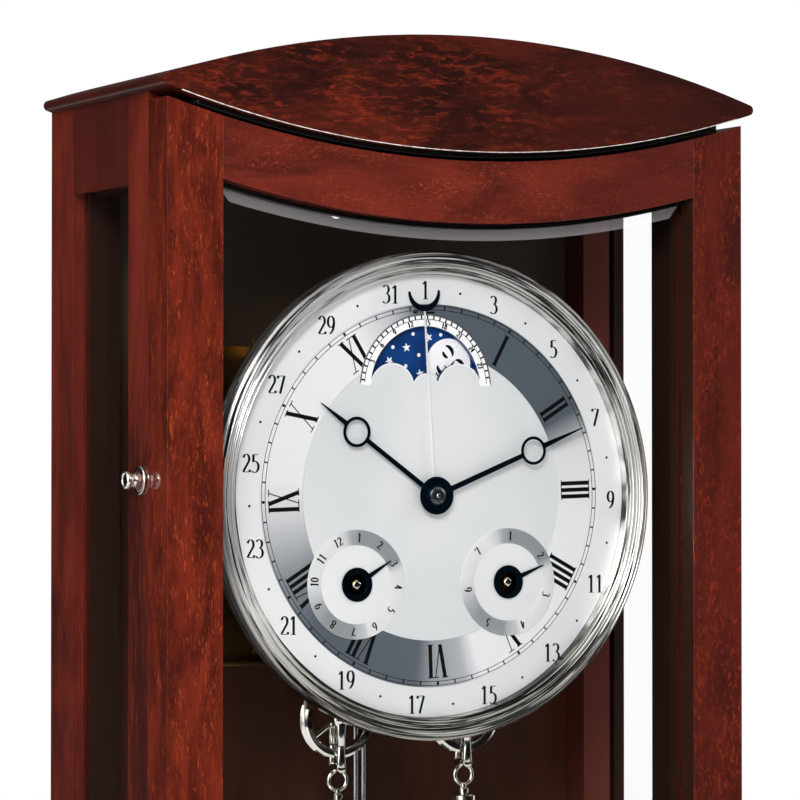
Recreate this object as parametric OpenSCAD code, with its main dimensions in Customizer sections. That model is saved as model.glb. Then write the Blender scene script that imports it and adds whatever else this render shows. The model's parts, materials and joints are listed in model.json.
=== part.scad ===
// Calendar wall clock with a lens-shaped crown, glazed door and sides, two weights and a pendulum.
// Origin: centre of the hanging hole, in the plane of the wall. +X right, +Y into the wall, +Z up.
// A depth is a distance behind the front face of the door. Dial parts use the dial centre as zero.

/* [Case] */
// Width over the sides
case_w = 356; // [340:1:380]
// Depth from the wall to the front face of the door
case_d = 159; // [156:1:175]
// Height from the base to the top of the crown
case_h = 1000; // [960:1:1060]
// Height of the hanging hole above the dial centre
hang_up = 165; // [155:1:170]
// Thickness of a side frame
side_t = 28; // [22:1:32]
// Width of the front stile of a side frame
side_front_stile = 25.5; // [20:0.5:30]
// Width of the back stile of a side frame
side_back_stile = 31.6; // [24:0.1:40]
// Height of the side rails at the outside
side_rail = 48; // [40:1:60]
// Thickness of the side glass
side_glass_t = 3; // [2:0.5:4]
// Depth of the side glass behind the outer face
side_glass_in = 7; // [5:0.5:12]
// Thickness of the back panel
back_t = 8; // [5:0.5:10]
// Gap between the back panel and the wall
back_gap = 2; // [2:0.5:5]
// Thickness of the top and bottom boards
board_t = 12; // [8:0.5:18]

/* [Crown] */
// Overhang of the crown past the sides and the door
crown_over = 5; // [2:0.5:8]
// Rise of the crown above its tips
crown_rise = 32; // [24:1:40]
// Drop of the crown below its tips
crown_drop = 31; // [24:1:40]
// Radius of the rounded tips
tip_r = 3; // [2:0.5:4]
// Wall of the crown shell
crown_wall = 6; // [4:0.5:8]
// Thickness of the veneered front plate
crown_front_t = 8; // [6:0.5:12]
// Shadow gap between the crown and the door
crown_gap = 4.5; // [4.2:0.1:6]
// Thickness of the black strip in the shadow gap
strip_t = 2.6; // [1.5:0.1:2.8]
// Half length of the black strip
strip_half = 160; // [150:1:165]

/* [Door] */
// Thickness of the door
door_t = 25; // [20:0.5:28]
// Gap between the door and the case
door_gap = 0.6; // [0.4:0.1:1]
// Width of a door stile
stile_w = 32; // [28:1:36]
// Height of a door rail in the middle
rail_h = 34; // [28:1:40]
// Depth of the door glass behind the door face
glass_in = 13; // [10:0.5:15]
// Thickness of the door glass
glass_t = 4; // [3:0.5:5]
// Depth of the glass groove
groove = 4; // [3:0.5:5]
// Height of the black bead at the rails
bead_h = 3; // [2:0.5:5]

/* [Dial] */
// Outer radius of the bezel
bezel_r = 135; // [130:1:138]
// Width of the bezel
bezel_w = 12.5; // [10:0.5:14]
// Depth of the face of the dial
dial_depth = 39; // [37:0.5:41]
// Inner radius of the date ring
date_in = 106; // [104:0.5:108]
// Inner radius of the hour ring
hour_in = 80.3; // [79:0.1:82]
// Sideways distance of a small dial
small_x = 47.5; // [46:0.5:49]
// Drop of a small dial below the dial centre
small_z = 48.5; // [47:0.5:50]
// Outer radius of a small dial ring
small_r = 30; // [28:0.5:31]
// Sideways place of the moon disc's centre
moon_x = -4.3; // [-5:0.1:0]
// Height of the moon disc's centre
moon_z = 59.2; // [58:0.1:61]
// Radius of the moon opening
moon_r = 34.4; // [33:0.1:35]
// Radius of the two humps that hide the moon
hump_r = 13.5; // [13:0.1:13.8]

/* [Hands] */
// Length of the minute hand
minute_len = 101; // [90:1:110]
// Length of the hour hand
hour_len = 87; // [80:1:92]
// Place of the ring on the minute hand
minute_ring = 66.5; // [60:0.5:70]
// Place of the ring on the hour hand
hour_ring_at = 60; // [55:0.5:64]
// Length of the date hand's silver blade
date_len = 102; // [98:1:106]
// Length of the month and weekday hands
small_len = 24.5; // [20:0.5:28]
// Angle of the minute hand
minute_at = 68; // [0:1:359]
// Angle of the date hand
date_at = 356.6; // [0:0.1:359]
// Angle of the month hand
month_at = 58.5; // [0:0.5:359]
// Angle of the weekday hand
weekday_at = 68; // [0:1:359]
// Thickness of a hand
hand_t = 0.4; // [0.3:0.1:0.5]

/* [Movement] */
// Half width of the movement plates
plate_half = 84; // [83:1:90]
// Half height of the movement plates
plate_up = 88; // [87:1:92]
// Thickness of the movement plates
plate_t = 2; // [1.5:0.5:2.5]
// Depth of the front plate
front_plate_d = 56; // [55:0.5:57]
// Depth of the back plate
back_plate_d = 93; // [92:0.5:94]
// Half width of the brass seat
seat_half = 115; // [108:1:130]
// Thickness of the brass seat
seat_t = 2; // [1.5:0.5:3]
// Radius of the cable's path round a drum
drum_cable_r = 12.5; // [11:0.5:14]
// Radius of an arbor
arbor_r = 1.5; // [1.2:0.1:1.8]
// Running clearance of arbors and pins
run = 0.05; // [0.02:0.01:0.09]
// Gap between the tooth tips of a wheel and its pinion
mesh_gap = 0.3; // [0.2:0.05:0.5]

/* [Weights and pendulum] */
// Radius of the cable's path round a pulley
pulley_cable_r = 20; // [18:0.5:22]
// Depth of the cables and weights
weight_d = 77; // [75:0.5:79]
// Drop of the pulley centres below the dial centre
pulley_drop = 124.5; // [120:0.5:130]
// Radius of a weight
weight_r = 25; // [20:0.5:28]
// Length of a weight
weight_len = 190; // [150:1:200]
// Radius of a cable
cable_r = 0.6; // [0.4:0.1:0.8]
// Gap between the bob and the back panel
bob_gap = 11; // [8:0.5:13]
// Gap between the pendulum's rating screw and the bottom board
screw_gap = 48.9; // [30:0.1:90]
// Radius of a pendulum rod
rod_r = 1.5; // [1.2:0.1:1.8]
// Distance between the pendulum rods
rod_gap = 5; // [4.6:0.1:6]
// Radius of the bob
bob_r = 58; // [50:1:62]
// Thickness of the bob
bob_t = 20; // [16:1:24]

/* [Mounts] */
// Radius of the hanging hole
hang_r = 4.5; // [3.5:0.1:6]
// Thickness of the hanger plate
hanger_t = 2; // [1.5:0.1:2]
// Radius of the lower fixing holes
fixing_r = 2.5; // [2:0.1:3.5]
// Distance between the lower fixing holes
fixing_span = 240; // [200:1:260]

/* [Hidden] */
$fn = 96;
big_fn = 480;
far = 2000;
seat_gap = 0.1;

half_w = case_w / 2;
inner_w = half_w - side_t;
dial_z = -hang_up;
crown_half = half_w + crown_over;
crown_full_d = case_d + crown_over;
// The tips of the crown lie this far above the dial centre.
tip_up = 218;
top_up = tip_up + crown_rise;
mid_z = top_up - case_h / 2;
core_half = crown_half - tip_r;
core_up = crown_rise - tip_r;
core_down = crown_drop - tip_r;
up_r = arc_r(core_half, core_up);
down_r = arc_r(core_half, core_down);
// The underside of the crown is one arc, and what fits under it shares its centre.
under_z = tip_up + down_r - core_down;
under_r = down_r + tip_r;
rail_top_r = under_r + crown_gap;
// The opening has its own, slightly flatter arc.
open_half = half_w - stile_w;
open_mid = under_z - rail_top_r - rail_h;
open_sag = 19;
open_r = arc_r(open_half, open_sag);
open_z = open_mid + open_r;
side_front_d = door_t + door_gap;
side_open_d0 = side_front_d + side_front_stile;
side_open_d1 = case_d - side_back_stile;
side_open_up = side_top(half_w) - side_rail;

plate_back_d = front_plate_d + plate_t;
seat_d = back_plate_d + plate_t + 2;
back_front_d = case_d - back_gap - back_t;
seat_back_d = seat_d + seat_t;
seat_up = 83;
seat_down = 94;
seat_pillar_r = 5;
seat_pillar_at = [seat_half - 15, 70];
plate_pillar_r = 4;
plate_pillar_at = [plate_half - 6, plate_up - 8];
foot_r = 2.5;
foot_at = [60, 78];
foot_low = -8;
dial_plate_d = dial_depth + 1;
dial_plate_t = 2;
dial_plate_r = bezel_r - 8;
dial_back_d = dial_plate_d + dial_plate_t;
ring_out = bezel_r - bezel_w;

// The hands stand close to the dial: month and weekday first, then date, hour and minute.
ring_raise = 0.3;
disc_raise = 0.12;
small_d = dial_depth - 1.1;
crescent_t = 0.3;
crescent_out = 9.9;
crescent_in = 8.6;
crescent_deep = 3.4;
crescent_up = 11.2;
date_d = dial_depth - 2;
hour_d = dial_depth - 3.2;
minute_d = dial_depth - 4.8;
minute_hub_r = 10.5;
minute_nut_r = 5.5;
minute_arbor_r = arbor_r + 0.1;
hour_pipe_in = minute_arbor_r + run;
hour_pipe_out = hour_pipe_in + 0.95;
date_pipe_in = hour_pipe_out + run;
date_pipe_out = date_pipe_in + 0.95;
small_hub_r = 9.35;
small_pipe_in = 5.8;
small_pipe_out = 8;
winding_r = 2.5;
hour_at = 300 + minute_at / 12;

// Wheels: the arbors are placed by hand, and each pinion fills what the wheel leaves.
second_x = 40;
second_z = -10.2;
third_x = -30;
third_z = 20;
escape_x = -8;
escape_z = 42.5;
anchor_z = 64;
motion_x = -18.4;
motion_z = -18.4;
great_r = 32.5;
second_r = 34.4;
centre_r = 34;
third_r = 28.5;
escape_r = 18;
motion_wheel_r = 19.5;
hour_wheel_r = 20.8;
date_wheel_r = 20;
second_n = 72;
centre_n = 72;
third_n = 68;
second_pinion = norm([small_x - second_x, small_z + second_z]) - great_r - mesh_gap;
centre_pinion = norm([second_x, second_z]) - second_r - mesh_gap;
third_pinion = norm([third_x, third_z]) - centre_r - mesh_gap;
escape_pinion = norm([escape_x - third_x, escape_z - third_z]) - third_r - mesh_gap;
cannon_r = norm([motion_x, motion_z]) - motion_wheel_r - mesh_gap;
motion_pinion = norm([motion_x, motion_z]) - hour_wheel_r - mesh_gap;

drum_d0 = weight_d - 7;
drum_d1 = weight_d + 5;
drum_r = drum_cable_r - cable_r - 0.2;
pulley_x = small_x + drum_cable_r - pulley_cable_r;
pulley_r = pulley_cable_r + 1.75;
pulley_half = 3.5;
pulley_groove = pulley_cable_r - cable_r - 0.2;
inner_run_x = pulley_x - pulley_cable_r;
outer_run_x = pulley_x + pulley_cable_r;
pillar_r = 3;
low_pillar_z = -82;
stirrup_t = 1.5;
stirrup_in = pulley_half + 0.6;
stirrup_low = pulley_drop + 27;
ring_r = 5.5;
ring_wire = 1.2;
ring_drop = stirrup_low + ring_r + ring_wire + 0.6;
weight_top = ring_drop + 17;

pendulum_d = back_front_d - bob_gap - bob_t / 2;
floor_up = 2 * mid_z - (under_z - under_r - seat_gap - board_t);
screw_low = floor_up + screw_gap;
rods_low = screw_low + 26;
bob_z = rods_low + 2 + bob_r;
rods_top = 40;
foot_h = 5;
spring_w = 6;
spring_t = 0.4;
cock_z = anchor_z + 8;
bell_x = 53 - seat_half;
bell_z = 30;
bell_r = 28;

hinge_x = half_w + 2.6;
hinge_d = door_t + door_gap / 2;
knuckle_r = 2.3;
hinge_pin_r = 1.2;
hinge_len = 48;
hinge_drop = 60;
knob_d = 34;
knob_z = 9;
finger_x = inner_w - 1.2;
finger_t = 2.4;
finger_w = 4;
finger_hub_r = 3.2;
finger_len = knob_d - door_t - 0.6;
lip_d = knob_d + finger_w / 2 + 0.6;

// Radius of an arc from half its chord and its height
function arc_r(half, height) = (half * half + height * height) / (2 * height);
// Y of a plane at a depth behind the door face
function yd(depth) = depth - case_d;
// Height of the crown's underside above the dial centre
function side_top(x) = under_z - sqrt(under_r * under_r - x * x);
// Outline of a toothed wheel
function teeth(r, n, deep) =
    [for (i = [0 : 2 * n - 1]) (i % 2 == 0 ? r : r - deep) * [cos(i * 180 / n), sin(i * 180 / n)]];

// A flat outline drawn in X and Z, made solid between two depths
module slab(d0, d1) {
    translate([0, yd(d1), 0]) rotate([90, 0, 0]) linear_extrude(d1 - d0) children();
}

// A profile of radius and depth, turned about the Y axis
module turned() {
    translate([0, yd(0), 0]) rotate([-90, 0, 0]) rotate_extrude() children();
}

// A round bar along Y
module bar(r, d0, d1) {
    slab(d0, d1) circle(r);
}

module at(x, z) {
    translate([x, 0, z]) children();
}

module dial_frame() {
    translate([0, 0, dial_z]) children();
}

module mirrored_base() {
    translate([0, 0, mid_z]) mirror([0, 0, 1]) translate([0, 0, -mid_z]) children();
}

// Crown

module lens(grow) {
    intersection() {
        translate([0, tip_up + core_up - up_r]) circle(up_r + grow, $fn = big_fn);
        translate([0, under_z]) circle(down_r + grow, $fn = big_fn);
        translate([-core_half, tip_up - 100]) square([2 * core_half, 200]);
    }
}

module crown_outline() {
    lens(tip_r);
    for (side = [-1, 1]) translate([side * core_half, tip_up]) circle(tip_r);
}

module shell_body() {
    difference() {
        slab(crown_front_t - crown_over, case_d) crown_outline();
        slab(-far, case_d - crown_wall) lens(tip_r - crown_wall);
    }
}

module under_crown(extra) {
    translate([0, under_z]) circle(under_r + extra, $fn = big_fn);
}

module crown_shell() {
    color("#4a1712") dial_frame() shell_body();
}

module crown_front() {
    color("#5e1c12") dial_frame() slab(-crown_over, crown_front_t - crown_over) crown_outline();
}

module crown_strip() {
    color("#0c0b0b") dial_frame() slab(2, door_t - 1) intersection() {
        difference() {
            under_crown(strip_t);
            under_crown(seat_gap);
        }
        translate([-strip_half, 0]) square([2 * strip_half, tip_up]);
    }
}

module base_shell() {
    color("#4a1712") dial_frame() mirrored_base() shell_body();
}

module base_front() {
    color("#5e1c12") dial_frame() mirrored_base()
        slab(-crown_over, crown_front_t - crown_over) crown_outline();
}

// Case

module side_outline() {
    difference() {
        translate([inner_w, 2 * mid_z - tip_up]) square([side_t, 2 * (tip_up - mid_z)]);
        under_crown(seat_gap);
        translate([0, 2 * mid_z]) mirror([0, 1]) under_crown(seat_gap);
    }
}

module side_opening(x0, x1, grow) {
    low = 2 * mid_z - side_open_up;
    translate([x0, yd(side_open_d0 - grow), low - grow])
        cube([x1 - x0, side_open_d1 - side_open_d0 + 2 * grow, side_open_up - low + 2 * grow]);
}

module side_frame_body() {
    glass_x = half_w - side_glass_in - side_glass_t;
    difference() {
        slab(side_front_d, case_d) side_outline();
        side_opening(inner_w - 1, half_w + 1, 0);
        side_opening(glass_x - seat_gap, glass_x + side_glass_t + seat_gap, groove);
    }
}

module side_frame_left() {
    color("#6b2015") dial_frame() difference() {
        mirror([1, 0, 0]) side_frame_body();
        translate([-half_w - 1, yd(knob_d), knob_z]) rotate([0, 90, 0])
            cylinder(r = 2.2 + run, h = side_t + 2);
    }
}

module side_frame_right() {
    color("#6b2015") dial_frame() side_frame_body();
}

module side_glasses() {
    x0 = half_w - side_glass_in - side_glass_t;
    color("#c8d4d440") dial_frame() for (side = [0, 1]) mirror([side, 0, 0])
        side_opening(x0, x0 + side_glass_t, groove - 0.3);
}

module back_panel() {
    color("#2a1410") dial_frame() difference() {
        slab(back_front_d, back_front_d + back_t) difference() {
            translate([-inner_w + seat_gap, 2 * mid_z - tip_up])
                square([2 * (inner_w - seat_gap), 2 * (tip_up - mid_z)]);
            under_crown(seat_gap);
            translate([0, 2 * mid_z]) mirror([0, 1]) under_crown(seat_gap);
        }
        at(0, hang_up) bar(2 * hang_r, 0, case_d + 1);
        for (side = [-1, 1]) at(side * fixing_span / 2, 2 * mid_z - side_open_up + 30)
            bar(fixing_r, 0, case_d + 1);
    }
}

module board() {
    slab(side_front_d, back_front_d - seat_gap) intersection() {
        difference() {
            under_crown(seat_gap + board_t);
            under_crown(seat_gap);
        }
        translate([-inner_w + seat_gap, 0]) square([2 * (inner_w - seat_gap), tip_up]);
    }
}

module top_board() {
    color("#3a1610") dial_frame() board();
}

module bottom_board() {
    color("#3a1610") dial_frame() mirrored_base() board();
}

module hanger_plate() {
    plate_w = 70;
    plate_h = 36;
    screw_x = 26;
    screw_r = 1.6;
    color("#b9bcc0") difference() {
        slab(case_d - hanger_t, case_d) difference() {
            translate([-plate_w / 2, -plate_h / 2]) square([plate_w, plate_h]);
            circle(hang_r);
            for (side = [-1, 1]) translate([side * screw_x, 0]) circle(screw_r);
        }
    }
    color("#8d9094") for (side = [-1, 1]) at(side * screw_x, 0)
        bar(screw_r, case_d - hanger_t, case_d - seat_gap);
}

// Hinges and latch

module knuckle(z0, z1) {
    translate([hinge_x, yd(hinge_d), z0]) difference() {
        cylinder(r = knuckle_r, h = z1 - z0);
        translate([0, 0, -1]) cylinder(r = hinge_pin_r + run, h = z1 - z0 + 2);
    }
}

module hinge_leaf(z0, z1, side) {
    leaf_w = 16;
    leaf_t = 1;
    start = side > 0 ? 0.35 : -0.35 - leaf_w;
    knuckle(z0, z1);
    difference() {
        translate([half_w + 0.05, yd(hinge_d) + start, z0]) cube([leaf_t, leaf_w, z1 - z0]);
        translate([hinge_x, yd(hinge_d), z0 - 1]) cylinder(r = hinge_pin_r + run, h = z1 - z0 + 2);
    }
}

module at_hinges() {
    low = 2 * mid_z - side_open_up;
    for (z = [side_open_up - hinge_drop, low + hinge_drop]) translate([0, 0, z]) children();
}

module case_hinge_leaves() {
    third = hinge_len / 3;
    color("#b08a3c") dial_frame() at_hinges() {
        hinge_leaf(-hinge_len / 2, -third / 2 - 0.2, 1);
        hinge_leaf(third / 2 + 0.2, hinge_len / 2, 1);
    }
}

module door_hinge_leaves() {
    third = hinge_len / 3;
    color("#b08a3c") dial_frame() at_hinges() hinge_leaf(-third / 2, third / 2, -1);
}

module hinge_pins() {
    color("#c9a24c") dial_frame() at_hinges() translate([hinge_x, yd(hinge_d), -hinge_len / 2 - 1])
        union() {
            cylinder(r = hinge_pin_r, h = hinge_len + 2);
            translate([0, 0, -1]) cylinder(r = knuckle_r, h = 1);
            translate([0, 0, hinge_len + 2]) cylinder(r = knuckle_r, h = 1);
        }
}

// The knob, its spindle through the stile and the finger inside are one turning piece.
module latch_knob() {
    rose_r = 7.6;
    waist_r = 3.7;
    button_r = 4.7;
    knob_len = 9.4;
    spindle_r = 2.2;
    color("#d5d7da") dial_frame() {
        translate([-half_w - 0.3, yd(knob_d), knob_z]) rotate([0, -90, 0]) rotate_extrude()
            polygon([[0, 0], [rose_r, 0], [rose_r, 0.8], [waist_r + 0.6, 3.4], [waist_r, 4],
                [waist_r, 5.6], [button_r, 6.1], [button_r, knob_len - 0.6],
                [button_r - 0.6, knob_len], [0, knob_len]]);
        translate([-half_w - 1, yd(knob_d), knob_z]) rotate([0, 90, 0])
            cylinder(r = spindle_r, h = half_w + 1 - finger_x + finger_t);
        translate([-finger_x, yd(knob_d), knob_z]) {
            rotate([0, 90, 0]) cylinder(r = finger_hub_r, h = finger_t);
            translate([0, -finger_len, -finger_w / 2]) cube([finger_t, finger_len, finger_w]);
        }
    }
}

// A strip on the inner edge of the stile, with a lip that the finger stands in front of
module door_catch() {
    strip_w = 1.5;
    lip_h = 12;
    lip_z = knob_z + finger_hub_r + 0.6;
    strip_d = glass_in + glass_t + 1;
    color("#b08a3c") dial_frame() {
        translate([-open_half, yd(strip_d), lip_z]) cube([strip_w, lip_d + strip_w - strip_d, lip_h]);
        translate([-finger_x, yd(lip_d), lip_z]) cube([finger_x - open_half + strip_w, strip_w, lip_h]);
    }
}

// Door

module door_outline() {
    intersection() {
        difference() {
            translate([-half_w, 2 * mid_z - tip_up]) square([2 * half_w, 2 * (tip_up - mid_z)]);
            under_crown(crown_gap);
        }
        translate([0, 2 * mid_z]) mirror([0, 1]) difference() {
            translate([-half_w, 2 * mid_z - tip_up]) square([2 * half_w, 2 * (tip_up - mid_z)]);
            under_crown(crown_gap);
        }
    }
}

// The hole for the glass, larger by these amounts at the rails and at the stiles
module door_opening(grow, grow_x) {
    difference() {
        translate([-open_half - grow_x, 2 * mid_z - tip_up])
            square([2 * (open_half + grow_x), 2 * (tip_up - mid_z)]);
        translate([0, open_z]) circle(open_r - grow, $fn = big_fn);
        translate([0, 2 * mid_z - open_z]) circle(open_r - grow, $fn = big_fn);
    }
}

module glass_groove() {
    slab(glass_in - seat_gap, glass_in + glass_t + seat_gap) door_opening(groove, groove);
}

module door_stile(side) {
    color("#7a2415") dial_frame() difference() {
        slab(0, door_t) intersection() {
            door_outline();
            translate([side > 0 ? open_half : -half_w, mid_z - far]) square([stile_w, 2 * far]);
        }
        glass_groove();
    }
}

module rail() {
    difference() {
        slab(0, door_t) intersection() {
            door_outline();
            translate([0, open_z]) circle(open_r, $fn = big_fn);
            translate([-open_half, mid_z]) square([2 * open_half, far]);
        }
        slab(glass_in - seat_gap, glass_in + glass_t + seat_gap) difference() {
            translate([-half_w, mid_z]) square([2 * half_w, far]);
            translate([0, open_z]) circle(open_r - groove, $fn = big_fn);
        }
    }
}

module door_stile_left() {
    door_stile(-1);
}

module door_stile_right() {
    door_stile(1);
}

module door_rail_top() {
    color("#7a2415") dial_frame() rail();
}

module door_rail_bottom() {
    color("#7a2415") dial_frame() mirrored_base() rail();
}

module door_glass() {
    color("#c8d4d430") dial_frame() slab(glass_in, glass_in + glass_t)
        door_opening(groove - 0.3, groove - 0.3);
}

module bead() {
    slab(glass_in - 4, glass_in - seat_gap) intersection() {
        difference() {
            translate([0, open_z]) circle(open_r + bead_h, $fn = big_fn);
            translate([0, open_z]) circle(open_r + seat_gap, $fn = big_fn);
        }
        translate([-open_half + seat_gap, mid_z]) square([2 * (open_half - seat_gap), tip_up - mid_z]);
    }
}

module door_beads() {
    color("#131110") dial_frame() {
        bead();
        mirrored_base() bead();
    }
}

// Movement

module movement_seat() {
    lip = 8;
    color("#a8842f") dial_frame() {
        slab(seat_d, seat_back_d) difference() {
            translate([-seat_half, -seat_down]) square([2 * seat_half, seat_down + seat_up]);
            translate([0, anchor_z]) circle(6);
        }
        slab(seat_d - lip, seat_d) translate([-seat_half, -seat_down]) square([2 * seat_half, seat_t]);
    }
}

module seat_pillars() {
    color("#b8933c") dial_frame() for (side = [-1, 1], z = [-seat_pillar_at.y - 10, seat_pillar_at.y])
        at(side * seat_pillar_at.x, z) bar(seat_pillar_r, seat_back_d, back_front_d);
}

module plate_outline(arbors) {
    difference() {
        translate([-plate_half, -plate_up]) square([2 * plate_half, 2 * plate_up]);
        circle(minute_arbor_r + run);
        for (side = [-1, 1]) translate([side * small_x, -small_z]) circle(winding_r + run);
        for (p = arbors) translate(p) circle(arbor_r + run);
    }
}

train_arbors = [[second_x, second_z], [third_x, third_z], [escape_x, escape_z], [0, anchor_z]];

module movement_front_plate() {
    color("#c49a3a") dial_frame() {
        slab(front_plate_d, plate_back_d) plate_outline(train_arbors);
        at(motion_x, motion_z) bar(arbor_r, front_plate_d - 7, front_plate_d);
        at(moon_x, moon_z) bar(arbor_r, dial_back_d + 0.5, front_plate_d);
    }
}

module movement_back_plate() {
    color("#c49a3a") dial_frame() slab(back_plate_d, back_plate_d + plate_t) plate_outline(train_arbors);
}

module movement_pillars() {
    color("#c9a24c") dial_frame() {
        for (side = [-1, 1], z = [5, plate_pillar_at.y]) at(side * plate_pillar_at.x, z) {
            bar(plate_pillar_r, plate_back_d, back_plate_d);
            bar(plate_pillar_r, back_plate_d + plate_t, seat_d);
        }
        for (side = [-1, 1]) at(side * inner_run_x, low_pillar_z) bar(pillar_r, plate_back_d, back_plate_d);
    }
}

module wheel(r, n, d0, d1, hub, deep = 1.6) {
    rim = r - 5;
    slab(d0, d1) difference() {
        polygon(teeth(r, n, deep));
        if (rim - hub > 9) for (i = [0 : 4]) rotate(i * 72)
            translate([(rim + hub) / 2 + 0.5, 0]) circle((rim - hub) / 2 - 1.5);
    }
}

module centre_wheel() {
    color("#c9a24c") dial_frame() {
        bar(minute_arbor_r, minute_d - 1.6, back_plate_d + plate_t + 1);
        wheel(centre_r, centre_n, back_plate_d - 5, back_plate_d - 3, 6);
        slab(plate_back_d + 2, plate_back_d + 6) polygon(teeth(centre_pinion, 14, 1.2));
        slab(front_plate_d - 4, front_plate_d - 1) polygon(teeth(cannon_r, 12, 1));
    }
}

module second_wheel() {
    color("#c9a24c") dial_frame() at(second_x, second_z) {
        bar(arbor_r, front_plate_d - 1, back_plate_d + plate_t + 1);
        wheel(second_r, second_n, plate_back_d + 3, plate_back_d + 5, 6);
        slab(back_plate_d - 10, back_plate_d - 6) polygon(teeth(second_pinion, 14, 1.2));
    }
}

module third_wheel() {
    color("#c9a24c") dial_frame() at(third_x, third_z) {
        bar(arbor_r, front_plate_d - 1, back_plate_d + plate_t + 1);
        wheel(third_r, third_n, plate_back_d + 12, plate_back_d + 14, 5);
        slab(back_plate_d - 6, back_plate_d - 2) polygon(teeth(third_pinion, 8, 0.8));
    }
}

module escape_wheel() {
    color("#c9a24c") dial_frame() at(escape_x, escape_z) {
        bar(arbor_r, front_plate_d - 1, back_plate_d + plate_t + 1);
        wheel(escape_r, 30, plate_back_d + 18.4, plate_back_d + 22.8, 4, 2.2);
        slab(plate_back_d + 11, plate_back_d + 15) polygon(teeth(escape_pinion, 8, 0.7));
    }
}

// Pallets, their arbor and the crutch that reaches back to the pendulum
module anchor() {
    crutch_d = seat_back_d + 8;
    crutch_low = -18;
    span = 14;
    tip = 8.8;
    pallet = [[-3, 3], [3, 3], [span, -3], [span + 1, -tip], [span - 1, -tip], [span - 2.5, -4.5],
        [0, -2], [-span + 2.5, -4.5], [-span + 1, -tip], [-span - 1, -tip], [-span, -3]];
    color("#8f949b") dial_frame() {
        at(0, anchor_z) {
            bar(arbor_r, front_plate_d - 1, crutch_d + 1);
            slab(plate_back_d + 19.5, plate_back_d + 22)
                rotate(atan2(escape_x, anchor_z - escape_z)) polygon(pallet);
            slab(crutch_d, crutch_d + 1.5)
                translate([-2, crutch_low - anchor_z - 2]) square([4, anchor_z - crutch_low + 4]);
        }
        at(0, crutch_low) bar(rod_gap / 2 - rod_r - 0.2, crutch_d, pendulum_d + 3);
    }
}

module motion_wheel() {
    color("#c9a24c") dial_frame() at(motion_x, motion_z) difference() {
        union() {
            wheel(motion_wheel_r, 36, front_plate_d - 3.8, front_plate_d - 1.3, motion_wheel_r, 1);
            slab(front_plate_d - 6.5, front_plate_d - 3.5) polygon(teeth(motion_pinion, 10, 0.8));
        }
        bar(arbor_r + run, 0, case_d);
    }
}

// Drum, great wheel and winding arbor, turned by the cable
module drum_body() {
    great_d = back_plate_d - 9;
    bar(winding_r, small_d + 1, back_plate_d + plate_t + 1);
    bar(drum_r, drum_d0, drum_d1);
    bar(drum_cable_r + 2.5, drum_d0 - 1.5, drum_d0);
    bar(drum_cable_r + 2.5, drum_d1, drum_d1 + 1.5);
    wheel(great_r, 84, great_d, great_d + 2, drum_r);
}

module drum_left() {
    color("#c9a24c") dial_frame() at(-small_x, -small_z) drum_body();
}

module drum_right() {
    color("#c9a24c") dial_frame() at(small_x, -small_z) drum_body();
}

// Dial

// A half disc, less the two humps at its ends and the small one over the disc's hub
module moon_opening(grow) {
    hump_x = moon_r + 0.1 - hump_r;
    hub_r = hump_x + 0.5 - hump_r;
    translate([moon_x, moon_z]) difference() {
        intersection() {
            circle(moon_r + grow);
            translate([-moon_r - grow, 0]) square([2 * (moon_r + grow), moon_r + grow]);
        }
        circle(hub_r - grow);
        for (side = [-1, 1]) translate([side * hump_x, 0]) circle(hump_r - grow);
    }
}

module dial_holes() {
    circle(date_pipe_out + run);
    for (side = [-1, 1]) translate([side * small_x, -small_z]) circle(small_pipe_out + run);
    moon_opening(0);
}

module dial_plate() {
    color("#c49a3a") dial_frame() slab(dial_plate_d, dial_back_d) difference() {
        circle(dial_plate_r);
        circle(date_pipe_out + run);
        for (side = [-1, 1]) translate([side * small_x, -small_z]) circle(small_pipe_out + run);
        moon_opening(0.4);
    }
}

module dial_feet() {
    color("#c9a24c") dial_frame() for (side = [-1, 1], z = [foot_low, foot_at.y])
        at(side * foot_at.x, z) bar(foot_r, dial_back_d, front_plate_d);
}

module bezel() {
    color("#cfd1d3") dial_frame() turned()
        polygon([[ring_out, dial_plate_d], [ring_out, dial_depth - 1.4], [ring_out + 1.2, dial_depth - 2.6],
            [ring_out + 2.4, dial_depth - 2.6], [ring_out + 3.2, dial_depth - 4.8],
            [ring_out + 5, dial_depth - 6.6], [ring_out + 6.2, dial_depth - 6.6],
            [ring_out + 7, dial_depth - 8.8], [ring_out + 8.6, dial_depth - 10.2],
            [ring_out + 10.4, dial_depth - 10.6], [bezel_r - 0.7, dial_depth - 10],
            [bezel_r, dial_depth - 8.6], [bezel_r, dial_back_d + 3], [bezel_r - 1.2, dial_back_d + 3],
            [bezel_r - 1.2, dial_plate_d]]);
}

module date_ring() {
    color("#dfe0e0") dial_frame() slab(dial_depth, dial_plate_d) difference() {
        circle(ring_out - 0.1);
        circle(date_in);
    }
}

module hour_ring() {
    color("#b9bcbf") dial_frame() slab(dial_depth + 0.2, dial_plate_d) difference() {
        circle(date_in - 0.1);
        circle(hour_in);
        moon_opening(0);
    }
}

module centre_disc() {
    color("#c9cbcc") dial_frame() slab(dial_depth, dial_plate_d) difference() {
        circle(hour_in - 0.1);
        dial_holes();
    }
}

module small_dial_rings() {
    ring_w = 8.4;
    color("#c2c4c6") dial_frame() for (side = [-1, 1]) at(side * small_x, -small_z) {
        slab(dial_depth - ring_raise, dial_depth) difference() {
            circle(small_r);
            circle(small_r - ring_w);
        }
        slab(dial_depth - disc_raise, dial_depth) difference() {
            circle(small_r - ring_w + seat_gap);
            circle(small_pipe_out + run);
        }
    }
}

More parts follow.
